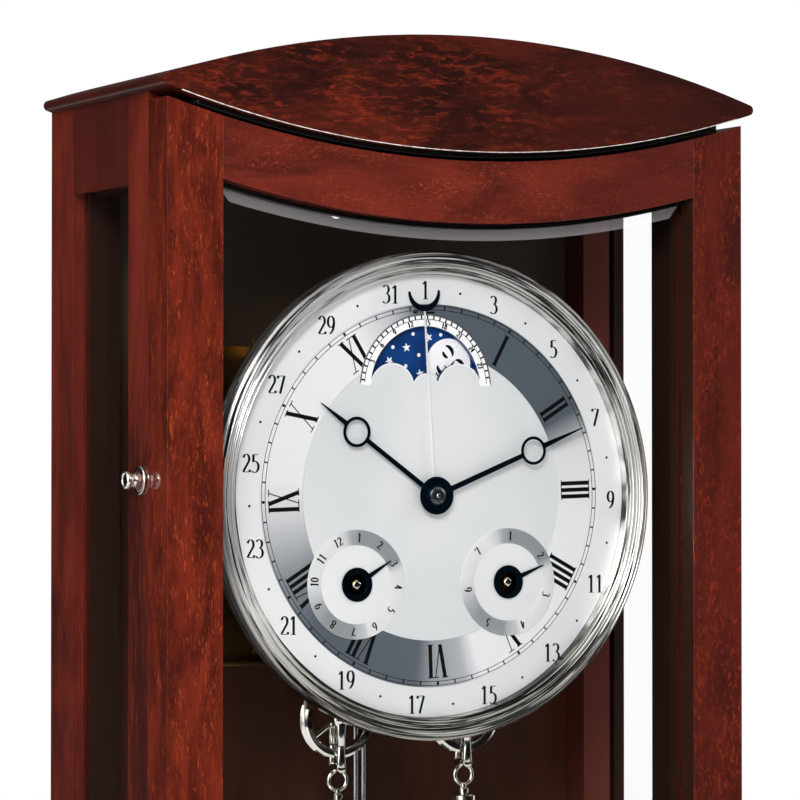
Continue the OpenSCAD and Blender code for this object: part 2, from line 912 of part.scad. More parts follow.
module moon_disc() {
    disc_d = dial_back_d + 0.7;
    color("#1c3f8f") dial_frame() at(moon_x, moon_z) difference() {
        union() {
            bar(moon_r + 1.8, disc_d, disc_d + 0.8);
            bar(4, disc_d, disc_d + 5);
            slab(disc_d + 3, disc_d + 4) polygon(teeth(20, 59, 1.2));
        }
        bar(arbor_r + run, 0, case_d);
    }
}

// Hands point up here and are turned to their rest angle.
module blade(r0, r1, w0, w1) {
    polygon([[-w0, r0], [-w1, r1], [w1, r1], [w0, r0]]);
}

module pomme_hand(len, ring_at, ring_out, ring_in, hub, half) {
    difference() {
        union() {
            circle(hub);
            blade(0, ring_at - ring_out + 0.3, half, half - 0.2);
            translate([0, ring_at]) circle(ring_out);
            blade(ring_at + ring_out - 0.6, len, half, 0.3);
        }
        translate([0, ring_at]) circle(ring_in);
    }
}

module minute_hand() {
    color("#1b2a4a") dial_frame() difference() {
        union() {
            slab(minute_d, minute_d + hand_t) rotate(-minute_at)
                pomme_hand(minute_len, minute_ring, 8, 6.3, minute_hub_r, 1.6);
            bar(minute_nut_r, minute_d - 1.4, minute_d);
            bar(minute_nut_r, minute_d + hand_t, minute_d + hand_t + 0.6);
        }
        bar(minute_arbor_r + 0.01, 0, case_d);
    }
}

module hour_hand() {
    color("#1b2a4a") dial_frame() difference() {
        union() {
            slab(hour_d, hour_d + hand_t) rotate(-hour_at)
                pomme_hand(hour_len, hour_ring_at, 8.4, 6.6, 8.6, 1.5);
            bar(hour_pipe_out, hour_d, front_plate_d - 4.3);
            slab(front_plate_d - 6, front_plate_d - 4.3) polygon(teeth(hour_wheel_r, 40, 0.9));
        }
        bar(hour_pipe_in, 0, case_d);
    }
}

module date_hand() {
    color("#aeb3b8") dial_frame() difference() {
        union() {
            slab(date_d, date_d + hand_t) rotate(-date_at) {
                circle(7);
                blade(0, date_len + crescent_deep / 2, 0.8, 0.5);
            }
            bar(date_pipe_out, date_d, front_plate_d - 9);
            slab(front_plate_d - 10.5, front_plate_d - 9) polygon(teeth(date_wheel_r, 31, 2));
        }
        bar(date_pipe_in, 0, case_d);
    }
    color("#1b2a4a") dial_frame() slab(date_d - crescent_t, date_d) rotate(-date_at) difference() {
        translate([0, date_len + crescent_out]) circle(crescent_out);
        translate([0, date_len + crescent_deep + crescent_in]) circle(crescent_in);
        translate([-crescent_out, date_len + crescent_up]) square(2 * crescent_out);
    }
}

module small_hand(angle, points) {
    difference() {
        union() {
            slab(small_d, small_d + hand_t) {
                circle(small_hub_r);
                rotate(-angle) blade(0, small_len, 2, 0.3);
            }
            bar(small_pipe_out, small_d, dial_back_d + 4);
            slab(dial_back_d + 4, dial_back_d + 5.2) polygon(teeth(14, points, 3));
        }
        bar(small_pipe_in, 0, case_d);
    }
}

module month_hand() {
    color("#1b2a4a") dial_frame() at(-small_x, -small_z) small_hand(month_at, 12);
}

module weekday_hand() {
    color("#1b2a4a") dial_frame() at(small_x, -small_z) small_hand(weekday_at, 7);
}

// Weights

module pulley_body() {
    half = pulley_half;
    difference() {
        turned() polygon([[2.5, weight_d - half], [pulley_r - 0.8, weight_d - half],
            [pulley_r, weight_d - half + 0.8], [pulley_groove, weight_d - 1], [pulley_groove, weight_d + 1],
            [pulley_r, weight_d + half - 0.8], [pulley_r - 0.8, weight_d + half], [2.5, weight_d + half]]);
        for (i = [0 : 4]) rotate([0, i * 72, 0]) at(11, 0) bar(4, 0, case_d);
    }
}

module pulley_left() {
    color("#c6c8ca") dial_frame() at(-pulley_x, -pulley_drop) pulley_body();
}

module pulley_right() {
    color("#c6c8ca") dial_frame() at(pulley_x, -pulley_drop) pulley_body();
}

// Stirrup, ring, hook and the polished weight under them
module weight_body() {
    arm_out = stirrup_in + stirrup_t;
    cap = 3;
    at(0, -pulley_drop) {
        bar(2.5 - run, weight_d - arm_out, weight_d + arm_out);
        for (d = [weight_d - arm_out, weight_d + stirrup_in]) slab(d, d + stirrup_t)
            union() {
                circle(5);
                translate([-3.2, -stirrup_low + pulley_drop]) square([6.4, stirrup_low - pulley_drop]);
            }
    }
    translate([-3.2, yd(weight_d - arm_out), -stirrup_low - 2]) cube([6.4, 2 * arm_out, 2.2]);
    at(0, -ring_drop) translate([0, yd(weight_d), 0]) rotate([90, 0, 0])
        rotate_extrude() translate([ring_r, 0]) circle(ring_wire, $fn = 24);
    translate([0, yd(weight_d), 0]) {
        translate([0, 0, -weight_top + 6]) cylinder(r = 1.6, h = weight_top - ring_drop - ring_r - 6 + 0.4);
        translate([0, 0, -weight_top - 1]) cylinder(r = 7, h = 7);
        translate([0, 0, -weight_top - cap]) cylinder(r = weight_r + 0.8, h = cap);
        translate([0, 0, -weight_top - weight_len + cap / 2]) cylinder(r = weight_r, h = weight_len - cap);
        translate([0, 0, -weight_top - weight_len]) cylinder(r = weight_r + 0.8, h = cap);
        translate([0, 0, -weight_top - weight_len - 4]) cylinder(r = 5, h = 5);
    }
}

module weight_left() {
    color("#c6c8ca") dial_frame() translate([-pulley_x, 0, 0]) weight_body();
}

module weight_right() {
    color("#c6c8ca") dial_frame() translate([pulley_x, 0, 0]) weight_body();
}

// From the drum down to the pulley, under it and up to the lower pillar
module cable_body() {
    inner_len = pulley_drop + low_pillar_z - pillar_r - 0.1;
    outer_len = pulley_drop - small_z;
    translate([0, yd(weight_d), 0]) {
        translate([outer_run_x, 0, -pulley_drop]) cylinder(r = cable_r, h = outer_len, $fn = 24);
        translate([inner_run_x, 0, -pulley_drop]) cylinder(r = cable_r, h = inner_len, $fn = 24);
        translate([pulley_x, 0, -pulley_drop]) rotate([90, 0, 0]) rotate([0, 0, 180])
            rotate_extrude(angle = 180) translate([pulley_cable_r, 0]) circle(cable_r, $fn = 24);
    }
}

module cable_left() {
    color("#9a8350") dial_frame() mirror([1, 0, 0]) cable_body();
}

module cable_right() {
    color("#9a8350") dial_frame() cable_body();
}

// Pendulum

module suspension_cock() {
    cock_w = 20;
    cock_h = 10;
    past_spring = 6;
    color("#c49a3a") dial_frame() translate([-cock_w / 2, yd(seat_back_d), cock_z])
        cube([cock_w, pendulum_d + past_spring - seat_back_d, cock_h]);
}

module pendulum_rods() {
    head_w = 14;
    head_h = 8;
    block_t = 2 * rod_r + 2;
    color("#c6c8ca") dial_frame() {
        translate([-spring_w / 2, yd(pendulum_d) - spring_t / 2, rods_top])
            cube([spring_w, spring_t, cock_z - 0.3 - rods_top]);
        translate([-head_w / 2, yd(pendulum_d) - block_t / 2, rods_top - head_h])
            cube([head_w, block_t, head_h]);
        for (side = [-1, 1]) translate([side * rod_gap / 2, yd(pendulum_d), rods_low])
            cylinder(r = rod_r, h = rods_top - head_h / 2 - rods_low);
        translate([-rod_gap / 2 - block_t / 2, yd(pendulum_d) - block_t / 2, rods_low - foot_h + 1])
            cube([rod_gap + block_t, block_t, foot_h]);
        translate([0, yd(pendulum_d), screw_low])
            cylinder(r = rod_r, h = rods_low - foot_h + 2 - screw_low);
    }
}

module pendulum_bob() {
    face_r = arc_r(bob_r, bob_t / 2 - 1);
    slot_w = rod_gap + 2 * rod_r + 0.6;
    slot_t = 2 * rod_r + 0.6;
    color("#c6c8ca") dial_frame() at(0, bob_z) difference() {
        turned() translate([0, pendulum_d]) intersection() {
            translate([0, bob_t / 2 - face_r]) circle(face_r, $fn = big_fn);
            translate([0, face_r - bob_t / 2]) circle(face_r, $fn = big_fn);
            translate([0, -bob_t]) square([bob_r, 2 * bob_t]);
        }
        translate([-slot_w / 2, yd(pendulum_d) - slot_t / 2, -far / 2]) cube([slot_w, slot_t, far]);
    }
}

module rating_nut() {
    disc_h = 4;
    neck_h = 2;
    nut_low = rods_low - foot_h - 2 - disc_h - neck_h;
    color("#c6c8ca") dial_frame() translate([0, yd(pendulum_d), nut_low]) difference() {
        union() {
            cylinder(r = 8, h = disc_h);
            cylinder(r = 4, h = disc_h + neck_h);
        }
        translate([0, 0, -1]) cylinder(r = rod_r + run, h = disc_h + neck_h + 2);
    }
}

module bell() {
    wall = 1.6;
    deep = 20;
    bell_d = seat_back_d + 14;
    color("#c9a24c") dial_frame() at(bell_x, bell_z) {
        turned() translate([0, bell_d + deep]) intersection() {
            difference() {
                scale([1, deep / bell_r]) circle(bell_r);
                scale([1, deep / bell_r]) circle(bell_r - wall);
            }
            translate([0, -deep]) square([bell_r, deep]);
        }
        bar(3, seat_back_d, bell_d + 1);
    }
}

crown_shell();
crown_front();
crown_strip();
base_shell();
base_front();
side_frame_left();
side_frame_right();
side_glasses();
back_panel();
top_board();
bottom_board();
hanger_plate();
case_hinge_leaves();
hinge_pins();
door_stile_left();
door_stile_right();
door_rail_top();
door_rail_bottom();
door_glass();
door_beads();
door_catch();
door_hinge_leaves();
latch_knob();
movement_seat();
seat_pillars();
movement_front_plate();
movement_back_plate();
movement_pillars();
dial_plate();
dial_feet();
bezel();
date_ring();
hour_ring();
centre_disc();
small_dial_rings();
moon_disc();
date_hand();
month_hand();
weekday_hand();
hour_hand();
minute_hand();
motion_wheel();
centre_wheel();
second_wheel();
third_wheel();
escape_wheel();
anchor();
drum_left();
drum_right();
pulley_left();
pulley_right();
weight_left();
weight_right();
cable_left();
cable_right();
suspension_cock();
pendulum_rods();
pendulum_bob();
rating_nut();
bell();
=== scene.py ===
# %% [markdown]
# # A calendar wall clock
# The clock's real pieces come from its CAD model, in metres, around the centre of the hanging hole.
# This script gives every piece its finish and adds what a CAD model leaves plain: the numerals and
# the moon, the stepped bezel, the bevelled glass and the turned metal.

# %% Load the frame
import json
import math

import bmesh
import bpy
from mathutils import Matrix, Vector


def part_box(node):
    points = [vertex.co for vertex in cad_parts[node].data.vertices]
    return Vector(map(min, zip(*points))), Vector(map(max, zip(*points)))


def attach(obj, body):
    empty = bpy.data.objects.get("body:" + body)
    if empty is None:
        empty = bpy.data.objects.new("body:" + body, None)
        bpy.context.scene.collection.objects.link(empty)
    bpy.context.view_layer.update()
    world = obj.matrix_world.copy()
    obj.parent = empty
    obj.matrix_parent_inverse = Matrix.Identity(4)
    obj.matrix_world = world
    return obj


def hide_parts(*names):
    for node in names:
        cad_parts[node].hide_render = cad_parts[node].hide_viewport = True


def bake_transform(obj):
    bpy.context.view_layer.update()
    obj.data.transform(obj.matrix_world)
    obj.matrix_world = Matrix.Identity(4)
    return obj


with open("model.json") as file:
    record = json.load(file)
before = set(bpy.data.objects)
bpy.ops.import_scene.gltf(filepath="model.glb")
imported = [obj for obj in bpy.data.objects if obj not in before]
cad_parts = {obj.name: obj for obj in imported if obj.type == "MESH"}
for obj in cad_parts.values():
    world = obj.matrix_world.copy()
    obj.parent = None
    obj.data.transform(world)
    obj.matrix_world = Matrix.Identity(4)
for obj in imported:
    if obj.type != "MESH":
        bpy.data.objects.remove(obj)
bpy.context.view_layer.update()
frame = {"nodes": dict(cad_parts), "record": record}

# %% [markdown]
# A clockmaker measures from the dial, so new pieces are drawn in millimetres with the dial's centre
# as zero: x to the right, y as the depth behind the door's face, and z up. One matrix puts them on
# the clock. Both zero places are read from the frame, so they follow the CAD model.

# %% Measure from the dial
MM = 0.001
DOOR_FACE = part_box("door_stile_left")[0].y
DIAL_UP = sum(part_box("bezel"), Vector()).z / 2
TO_CLOCK = Matrix.Translation((0, DOOR_FACE, DIAL_UP)) @ Matrix.Diagonal((MM, MM, MM, 1))


def measured(node):
    """Lowest and highest corner of a CAD node in millimetres from the dial's centre."""
    back = TO_CLOCK.inverted()
    return [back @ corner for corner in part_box(node)]


DIAL_D = measured("date_ring")[0].y
BEZEL_R = measured("bezel")[1].x
RING_OUT = measured("date_ring")[1].x
print("dial at depth", round(DIAL_D, 2), "bezel radius", round(BEZEL_R, 2))

# %% [markdown]
# The camera comes first, because every later choice is judged through it. It stands low and to the
# left of the clock, looks up by about one degree, and has a long lens that keeps the case upright.

# %% The camera
AZIMUTH = math.radians(27.876)
PITCH = math.radians(0.97)
DISTANCE = 1.88365
TARGET = Vector((-0.04118, -0.159, -0.11305))

level_part = math.cos(PITCH)
forward = Vector((math.sin(AZIMUTH) * level_part, math.cos(AZIMUTH) * level_part, math.sin(PITCH)))
camera_data = bpy.data.cameras.new("camera")
camera_data.sensor_width = 36
camera_data.lens = 157.5
camera = bpy.data.objects.new("camera", camera_data)
camera.location = TARGET - forward * DISTANCE
camera.rotation_euler = forward.to_track_quat("-Z", "Y").to_euler()
bpy.context.scene.collection.objects.link(camera)
bpy.context.scene.camera = camera
bpy.context.scene.view_settings.view_transform = "Standard"
print("camera at", [round(value, 3) for value in camera.location])

# %% [markdown]
# A finish is a small tree of shader nodes. Writing it as sums and products keeps it readable: a
# `Wire` is a socket that can be added, multiplied or compared, and each operation adds a Math node.
# `node` makes any other node from its type, its settings and what its sockets get.

# %% Wires
class Wire:
    """A socket whose arithmetic adds Math nodes to its tree."""

    def __init__(self, tree, socket):
        self.tree = tree
        self.socket = socket

    def maths(self, operation, *values):
        return self.tree.node("Math", {"operation": operation}, dict(enumerate(values)))

    def __add__(self, other):
        return self.maths("ADD", self, other)

    def __sub__(self, other):
        return self.maths("SUBTRACT", self, other)

    def __rsub__(self, other):
        return self.maths("SUBTRACT", other, self)

    def __mul__(self, other):
        return self.maths("MULTIPLY", self, other)

    def __truediv__(self, other):
        return self.maths("DIVIDE", self, other)

    def __pow__(self, other):
        return self.maths("POWER", self, other)

    __radd__ = __add__
    __rmul__ = __mul__

    def between(self, low, high):
        """0 below low, 1 above high, and smooth from one to the other."""
        limits = {"Value": self, "From Min": low, "From Max": high}
        return self.tree.node("MapRange", {"interpolation_type": "SMOOTHSTEP"}, limits)


print("wires ready")

# %% Trees
class Tree:
    """A node tree that is written from expressions."""

    def __init__(self, tree):
        self.tree = tree
        tree.nodes.clear()

    def node(self, kind, settings=None, inputs=None, out=0):
        made = self.tree.nodes.new("ShaderNode" + kind)
        for key, value in (settings or {}).items():
            if key == "stops":
                self.fill_ramp(made.color_ramp, value)
            else:
                setattr(made, key, value)
        for key, value in (inputs or {}).items():
            if isinstance(value, Wire):
                self.tree.links.new(value.socket, made.inputs[key])
            else:
                made.inputs[key].default_value = value
        return Wire(self, made.outputs[out]) if made.outputs else made

    def fill_ramp(self, ramp, stops):
        while len(ramp.elements) < len(stops):
            ramp.elements.new(0.5)
        for element, (position, colour) in zip(ramp.elements, stops):
            element.position = position
            element.color = colour

    def parts(self, vector):
        """The three coordinates of a vector."""
        split = self.node("SeparateXYZ", inputs={0: vector})
        return [Wire(self, split.socket.node.outputs[axis]) for axis in "XYZ"]

    def mix(self, amount, first, second):
        """One colour turning into another."""
        return self.node("Mix", {"data_type": "RGBA"}, {0: amount, 6: first, 7: second}, out=2)


def shade(red, green, blue):
    """A colour as it is read off a screen, 0 to 255, as the linear light that a shader needs."""
    linear = []
    for value in (red, green, blue):
        part = value / 255
        linear.append(part / 12.92 if part <= 0.04045 else ((part + 0.055) / 1.055) ** 2.4)
    return (*linear, 1)


print("middle grey as linear light", round(shade(128, 128, 128)[0], 3))

# %% Finishes
class Finish(Tree):
    """A material with one Principled surface."""

    def __init__(self, name):
        self.material = bpy.data.materials.new(name)
        self.material.use_nodes = True
        super().__init__(self.material.node_tree)
        self.place = self.node("TexCoord", out="Object")

    def axes(self):
        """The three coordinates of the place that is shaded, in metres."""
        return self.parts(self.place)

    def from_point(self, point):
        """The same coordinates, counted from a point of the clock."""
        moved = self.node("Mapping", inputs={"Vector": self.place, "Location": -Vector(point)})
        return self.parts(moved)

    def noise(self, scale, detail=3, roughness=0.5, distortion=0):
        """Noise with a number of features a metre, for all axes or for each of them."""
        each = scale if isinstance(scale, tuple) else (scale, scale, scale)
        spread = self.node("Mapping", inputs={"Vector": self.place, "Scale": each})
        sockets = {"Vector": spread, "Scale": 1, "Detail": detail, "Roughness": roughness,
                   "Distortion": distortion}
        return self.node("TexNoise", inputs=sockets)

    def bump(self, height, distance, strength=1):
        return self.node("Bump", inputs={"Height": height, "Distance": distance, "Strength": strength})

    def surface(self, sockets):
        shader = self.node("BsdfPrincipled", inputs=sockets)
        self.node("OutputMaterial", inputs={"Surface": shader})
        return self.material


def speckled(name, specks, limits, dark, light, roughness, spread, detail=2, **more):
    """A paint or print: two close tones in small specks, which are also a little rougher."""
    finish = Finish(name)
    marks = finish.noise(specks, detail=detail)
    return finish.surface({"Base Color": finish.mix(marks.between(*limits), dark, light),
                           "Roughness": roughness + spread * (marks - 0.5), **more})


print("shader helpers ready")

# %% [markdown]
# The clock was shown in front of plain white. The camera and the glass see that white, while shiny
# pieces see a studio: a large soft light high on the left, a pale room behind and beside the clock,
# and a dark wall ahead on the right, so that the flat door glass stays clear. Diffuse light is even.

# %% The studio
world = bpy.data.worlds.new("studio")
world.use_nodes = True
bpy.context.scene.world = world
sky = Tree(world.node_tree)
look = sky.node("TexCoord", out="Generated")
look_up = sky.parts(look)[2]


def facing(*way):
    """How much a direction looks the way given, from -1 to 1."""
    aim = Vector(way).normalized()
    return sky.node("VectorMath", {"operation": "DOT_PRODUCT"}, {0: look, 1: aim}, out="Value")


level_band = 1 - look_up.maths("ABSOLUTE", look_up).between(0.14, 0.26)
in_front = facing(0.467, -0.884, 0).between(0.76, 0.9)
behind_left = facing(-0.467, 0.884, 0).between(0.72, 0.9)
dark_wall = in_front.maths("MAXIMUM", in_front, behind_left) * level_band
soft_box = facing(-0.72, -0.5, 0.5).between(0.72, 0.84)
left_wall = facing(-0.86, -0.5, 0.05).between(0.84, 0.96)
right_wall = facing(1, 0.1, 0.05).between(0.86, 0.95)
above_front = facing(0.5, -0.5, 0.7).between(0.9, 0.97)
ceiling = look_up.between(0.5, 0.85)
walls = 0.95 * left_wall + 0.8 * right_wall + 0.9 * above_front
room = 0.07 + walls + 0.5 * ceiling + 1.9 * soft_box
shiny = room * (1 - dark_wall * 0.9)

path = {name: sky.node("LightPath", out=name)
        for name in ("Is Camera Ray", "Is Glossy Ray", "Is Transmission Ray")}
seen = path["Is Camera Ray"].maths("MAXIMUM", path["Is Camera Ray"], path["Is Transmission Ray"])
DIFFUSE_LEVEL = 0.56
level = DIFFUSE_LEVEL + path["Is Glossy Ray"] * (shiny - DIFFUSE_LEVEL)
strength = level * (1 - seen) + seen
backdrop = sky.node("Background", inputs={"Color": (1, 1, 1, 1), "Strength": strength})
sky.node("OutputWorld", inputs={"Surface": backdrop})
print("studio nodes", len(world.node_tree.nodes))


# %% Lamps and floor
def soft_lamp(name, place, aim, size, power):
    data = bpy.data.lights.new(name, "AREA")
    data.shape = "DISK"
    data.size = size
    data.energy = power
    lamp = bpy.data.objects.new(name, data)
    lamp.location = place
    lamp.rotation_euler = (Vector(aim) - Vector(place)).to_track_quat("-Z", "Y").to_euler()
    bpy.context.scene.collection.objects.link(lamp)


DIAL_PLACE = (0, DOOR_FACE, DIAL_UP)
soft_lamp("key", (-1.5, -2.3, 1.1), DIAL_PLACE, 1.1, 56)
soft_lamp("fill", (2.3, -0.9, 0.7), DIAL_PLACE, 1.0, 14)

FLOOR_HALF = 2.4
FLOOR_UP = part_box("base_shell")[0].z - 0.001
floor_bm = bmesh.new()
bmesh.ops.create_grid(floor_bm, x_segments=1, y_segments=1, size=FLOOR_HALF)
bmesh.ops.translate(floor_bm, vec=(0, 0, FLOOR_UP), verts=floor_bm.verts)
floor_mesh = bpy.data.meshes.new("floor")
floor_bm.to_mesh(floor_mesh)
floor_bm.free()
floor = bpy.data.objects.new("floor", floor_mesh)
bpy.context.scene.collection.objects.link(floor)
floor_paint = Finish("floor_paint")
floor_mesh.materials.append(floor_paint.surface({"Base Color": shade(238, 238, 238), "Roughness": 0.7}))
print("floor at", round(floor_mesh.vertices[0].co.z, 3))

# %% [markdown]
# Every new piece ends in the same way: its edges are made sharp or soft by their angle, it moves
# from millimetres around the dial onto the clock, it takes its finish, and it is told which moving
# body carries it.

# %% Place a piece on the clock
def put(name, bm, body, material, stands_for=(), soft_below=32):
    """Turn a drawn shape into a piece of the clock. Without a body no moving part carries it."""
    for edge in bm.edges:
        edge.smooth = edge.calc_face_angle(0) < math.radians(soft_below)
    for face in bm.faces:
        face.smooth = True
    mesh = bpy.data.meshes.new(name)
    bm.to_mesh(mesh)
    bm.free()
    mesh.transform(TO_CLOCK)
    mesh.materials.append(material)
    piece = bpy.data.objects.new(name, mesh)
    bpy.context.scene.collection.objects.link(piece)
    if body:
        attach(piece, body)
    if stands_for:
        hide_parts(*stands_for)
    return piece


def closed(bm, gap=0.0005):
    """Merge what a spin or a cap left double, then point the faces outwards."""
    bmesh.ops.remove_doubles(bm, verts=bm.verts, dist=gap)
    bmesh.ops.recalc_face_normals(bm, faces=bm.faces)
    return bm


def softened(bm, edges, width, segments=2):
    bmesh.ops.bevel(bm, geom=edges, offset=width, offset_type="OFFSET", affect="EDGES",
                    segments=segments, profile=0.5, material=-1, clamp_overlap=True)


print("piece helpers ready")

# %% [markdown]
# A CAD node arrives as loose triangles with knife-sharp arrises. No real arris is that sharp: a
# worn, lacquered or polished edge catches a thin line of light. So a copy of the node is merged, its
# flat faces are joined, its hard edges are rounded by a width that suits the material, and weighted
# normals keep the flats flat. The copy then stands for the node.

# %% Dress a CAD node
BODY_OF = {node: body for body, nodes in frame["record"]["behaviour"]["bodies"].items() for node in nodes}


def copied(node):
    """A node's mesh as one connected surface, still in metres."""
    bm = bmesh.new()
    bm.from_mesh(frame["nodes"][node].data)
    bmesh.ops.remove_doubles(bm, verts=bm.verts, dist=2e-6)
    return bm


def dressed(node, material, slot, width=0.4, segments=2, hard_above=30):
    """A copy of a CAD node with rounded edges and a finish."""
    bm = copied(node)
    bmesh.ops.dissolve_limit(bm, angle_limit=math.radians(0.4), verts=bm.verts, edges=bm.edges)
    bm.transform(TO_CLOCK.inverted())
    if width:
        hard = [edge for edge in bm.edges if edge.calc_face_angle(0) > math.radians(hard_above)]
        softened(bm, hard, width, segments)
    piece = put(node + "_dressed", bm, BODY_OF[node], material, [node], soft_below=50)
    piece.modifiers.new("even_flats", "WEIGHTED_NORMAL").keep_sharp = True
    return piece


def carried(node, material):
    """A CAD node that keeps its own mesh and only takes a finish."""
    piece = frame["nodes"][node]
    piece.data.materials.clear()
    piece.data.materials.append(material)
    return piece


print("nodes by body", len(BODY_OF))

# %% [markdown]
# The case is veneered and lacquered. Seen close, such a veneer has three layers of pattern: broad
# clouds of darker and lighter stain, bright flames where the fibres rise to the light, and fine
# dark pores along the grain. Over it lies a clear coat with a sharp reflection. One function makes
# all the cuts of the wood, because only the direction, the sizes and the colours differ. It also
# paints light and shade into the colour: a ramp along one axis, a darker band across the sides, and
# darker faces inside the case, which are partly stain and partly painted shade.

# %% Lacquered veneer
LACQUER = {"Roughness": 0.5, "Specular IOR Level": 0.06, "Coat Roughness": 0.04, "Coat IOR": 1.5}
STEP = 0.0005
REAR = sum(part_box("back_panel"), Vector()).y / 2


def veneer(name, stretch, dark, middle, flame, flame_from=0.5, cloud=26, streak=(420, 0.16), calm=1.0,
           inside=(), painted_shading=None, painted_shade_band=None, wavy=0.3, coat=0.9):
    """Wood with its grain along the axis whose stretch is small."""
    def across(count, thin=1.0):
        return tuple(count * (1 if part == 1 else part * thin) for part in stretch)

    finish = Finish(name)
    count, long = streak
    clouds = finish.noise(across(cloud), detail=4, roughness=0.6, distortion=0.8)
    flames = finish.noise(across(count, long / min(stretch)), detail=5, roughness=0.7, distortion=wavy)
    where = finish.noise(across(cloud * 1.6), detail=3, roughness=0.6)
    fibres = finish.noise(across(2400, 0.05 / min(stretch)), detail=2, roughness=0.6)
    body_colour = finish.mix(clouds.between(0.3, 0.7), dark, middle)
    bright = flames.between(flame_from, flame_from + 0.2) * (0.25 + 0.75 * where.between(0.4, 0.6)) * calm
    lit = finish.mix(bright, body_colour, flame)
    pores = fibres.between(0.5, 0.72) * 0.5
    colour = finish.mix(pores, lit, dark)
    x, y, _ = finish.axes()
    # Painted shading: along one axis the colour turns towards a tint, darker on the crown and the rail and
    # lighter on the back.
    if painted_shading:
        axis, start, end, amount, tint = painted_shading
        in_front = 1 - y.between(REAR - STEP, REAR + STEP)
        colour = finish.mix(finish.axes()[axis].between(start, end) * in_front * amount, colour, tint)
    # Painted shade: the part between the stiles, in depth, turns darker.
    if painted_shade_band:
        start, end, amount = painted_shade_band
        between = y.between(start - STEP, start + STEP) * (1 - y.between(end - STEP, end + STEP))
        colour = finish.mix(between * amount, colour, dark)
    gloss = coat
    # Inside faces and reveals: a darker stain with little coat, made darker still by painted shade.
    for reach, depth, stain_and_shade in inside:
        beside = x.maths("ABSOLUTE", x).between(reach - STEP, reach + STEP)
        within = (1 - beside) * y.between(depth - STEP, depth + STEP)
        colour = finish.mix(within, colour, stain_and_shade)
        gloss = gloss * (1 - within * 0.85)
    ripple = finish.noise(9, detail=1)
    sockets = {"Base Color": colour, "Normal": finish.bump(ripple, 0.0005, 0.2), "Coat Weight": gloss}
    return finish.surface({**LACQUER, **sockets})


print("back panel's middle at", round(REAR, 4))

# %% The cuts of the wood
LEVEL_GRAIN = (0.3, 1, 1)
UPRIGHT_GRAIN = (1, 1, 0.25)
# Inside faces of the case and the door's reveals: partly darker stain, partly painted shade.
INSIDE_STAIN_AND_SHADE = shade(38, 23, 18)
REVEAL_STAIN_AND_SHADE = shade(48, 27, 20)
RED_STAIN_AND_SHADE = shade(86, 42, 34)
side_lo, side_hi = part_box("side_frame_right")
SIDE_INSIDE = side_hi.x - 0.010
FRONT_STILE_END = side_lo.y + 0.0255
BACK_STILE_FROM = side_hi.y - 0.0316
STILE_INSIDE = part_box("door_stile_right")[0].x + 0.0015
# The crown's front darkens towards the right: painted shade.
crown_wood = veneer("crown_front_burl", (0.42, 1, 1), shade(36, 11, 8), shade(82, 27, 15),
                    shade(124, 41, 21), 0.47, cloud=34, streak=(430, 0.26), calm=0.85,
                    painted_shading=(0, -0.04, 0.15, 0.7, shade(36, 11, 8)), wavy=0.5, coat=0.4)
shell_wood = veneer("crown_shell_veneer", (1, 0.25, 1), shade(44, 15, 12), shade(72, 26, 18),
                    shade(104, 40, 24), 0.5, calm=0.6, coat=0.35)
stile_wood = veneer("left_stile_veneer", UPRIGHT_GRAIN, shade(66, 18, 11), shade(118, 38, 21),
                    shade(186, 76, 36), 0.5, cloud=74, streak=(860, 0.2), calm=0.8, wavy=0.9,
                    inside=[(STILE_INSIDE, DOOR_FACE + 0.001, REVEAL_STAIN_AND_SHADE)])
far_stile_wood = veneer("right_stile_veneer", UPRIGHT_GRAIN, shade(56, 17, 12), shade(90, 28, 18),
                        shade(140, 48, 24), 0.48, cloud=40, streak=(440, 0.45), calm=0.85, wavy=0.8,
                        inside=[(STILE_INSIDE, DOOR_FACE + 0.001, REVEAL_STAIN_AND_SHADE)])
# The rail darkens towards the right: painted shade.
rail_wood = veneer("door_rail_veneer", LEVEL_GRAIN, shade(74, 24, 18), shade(116, 40, 28),
                   shade(154, 62, 38), 0.49, cloud=44, streak=(820, 0.6), calm=0.8,
                   painted_shading=(0, -0.02, 0.13, 0.6, shade(74, 24, 18)), wavy=0.5)
left_reveal = [(SIDE_INSIDE, DOOR_FACE, INSIDE_STAIN_AND_SHADE)]
right_reveals = [(side_hi.x - STEP, DOOR_FACE, INSIDE_STAIN_AND_SHADE),
                 (SIDE_INSIDE, BACK_STILE_FROM - 0.001, RED_STAIN_AND_SHADE)]
# The sides are darker between their front and back stiles: painted shade, as from the overhanging crown.
side_woods = [veneer(name, UPRIGHT_GRAIN, shade(62, 22, 17), shade(124, 42, 28), shade(152, 60, 36), 0.5,
                     cloud=20, streak=(700, 0.06), calm=0.6, inside=inside,
                     painted_shade_band=(FRONT_STILE_END, BACK_STILE_FROM, 0.65))
              for name, inside in (("left_side_veneer", left_reveal), ("right_side_veneer", right_reveals))]
inner_wood = veneer("stained_inside", UPRIGHT_GRAIN, shade(28, 20, 16), shade(42, 28, 21),
                    shade(56, 34, 24), 0.6, calm=0.5, coat=0.1)
# The back turns lighter and greyer towards its top: painted light.
back_wood = veneer("stained_back", UPRIGHT_GRAIN, shade(60, 36, 27), shade(80, 44, 32),
                   shade(98, 54, 38), 0.55, calm=0.6, coat=0.08,
                   painted_shading=(2, DIAL_UP + 0.04, DIAL_UP + 0.12, 0.9, shade(84, 72, 62)))
print("finishes so far", len(bpy.data.materials))

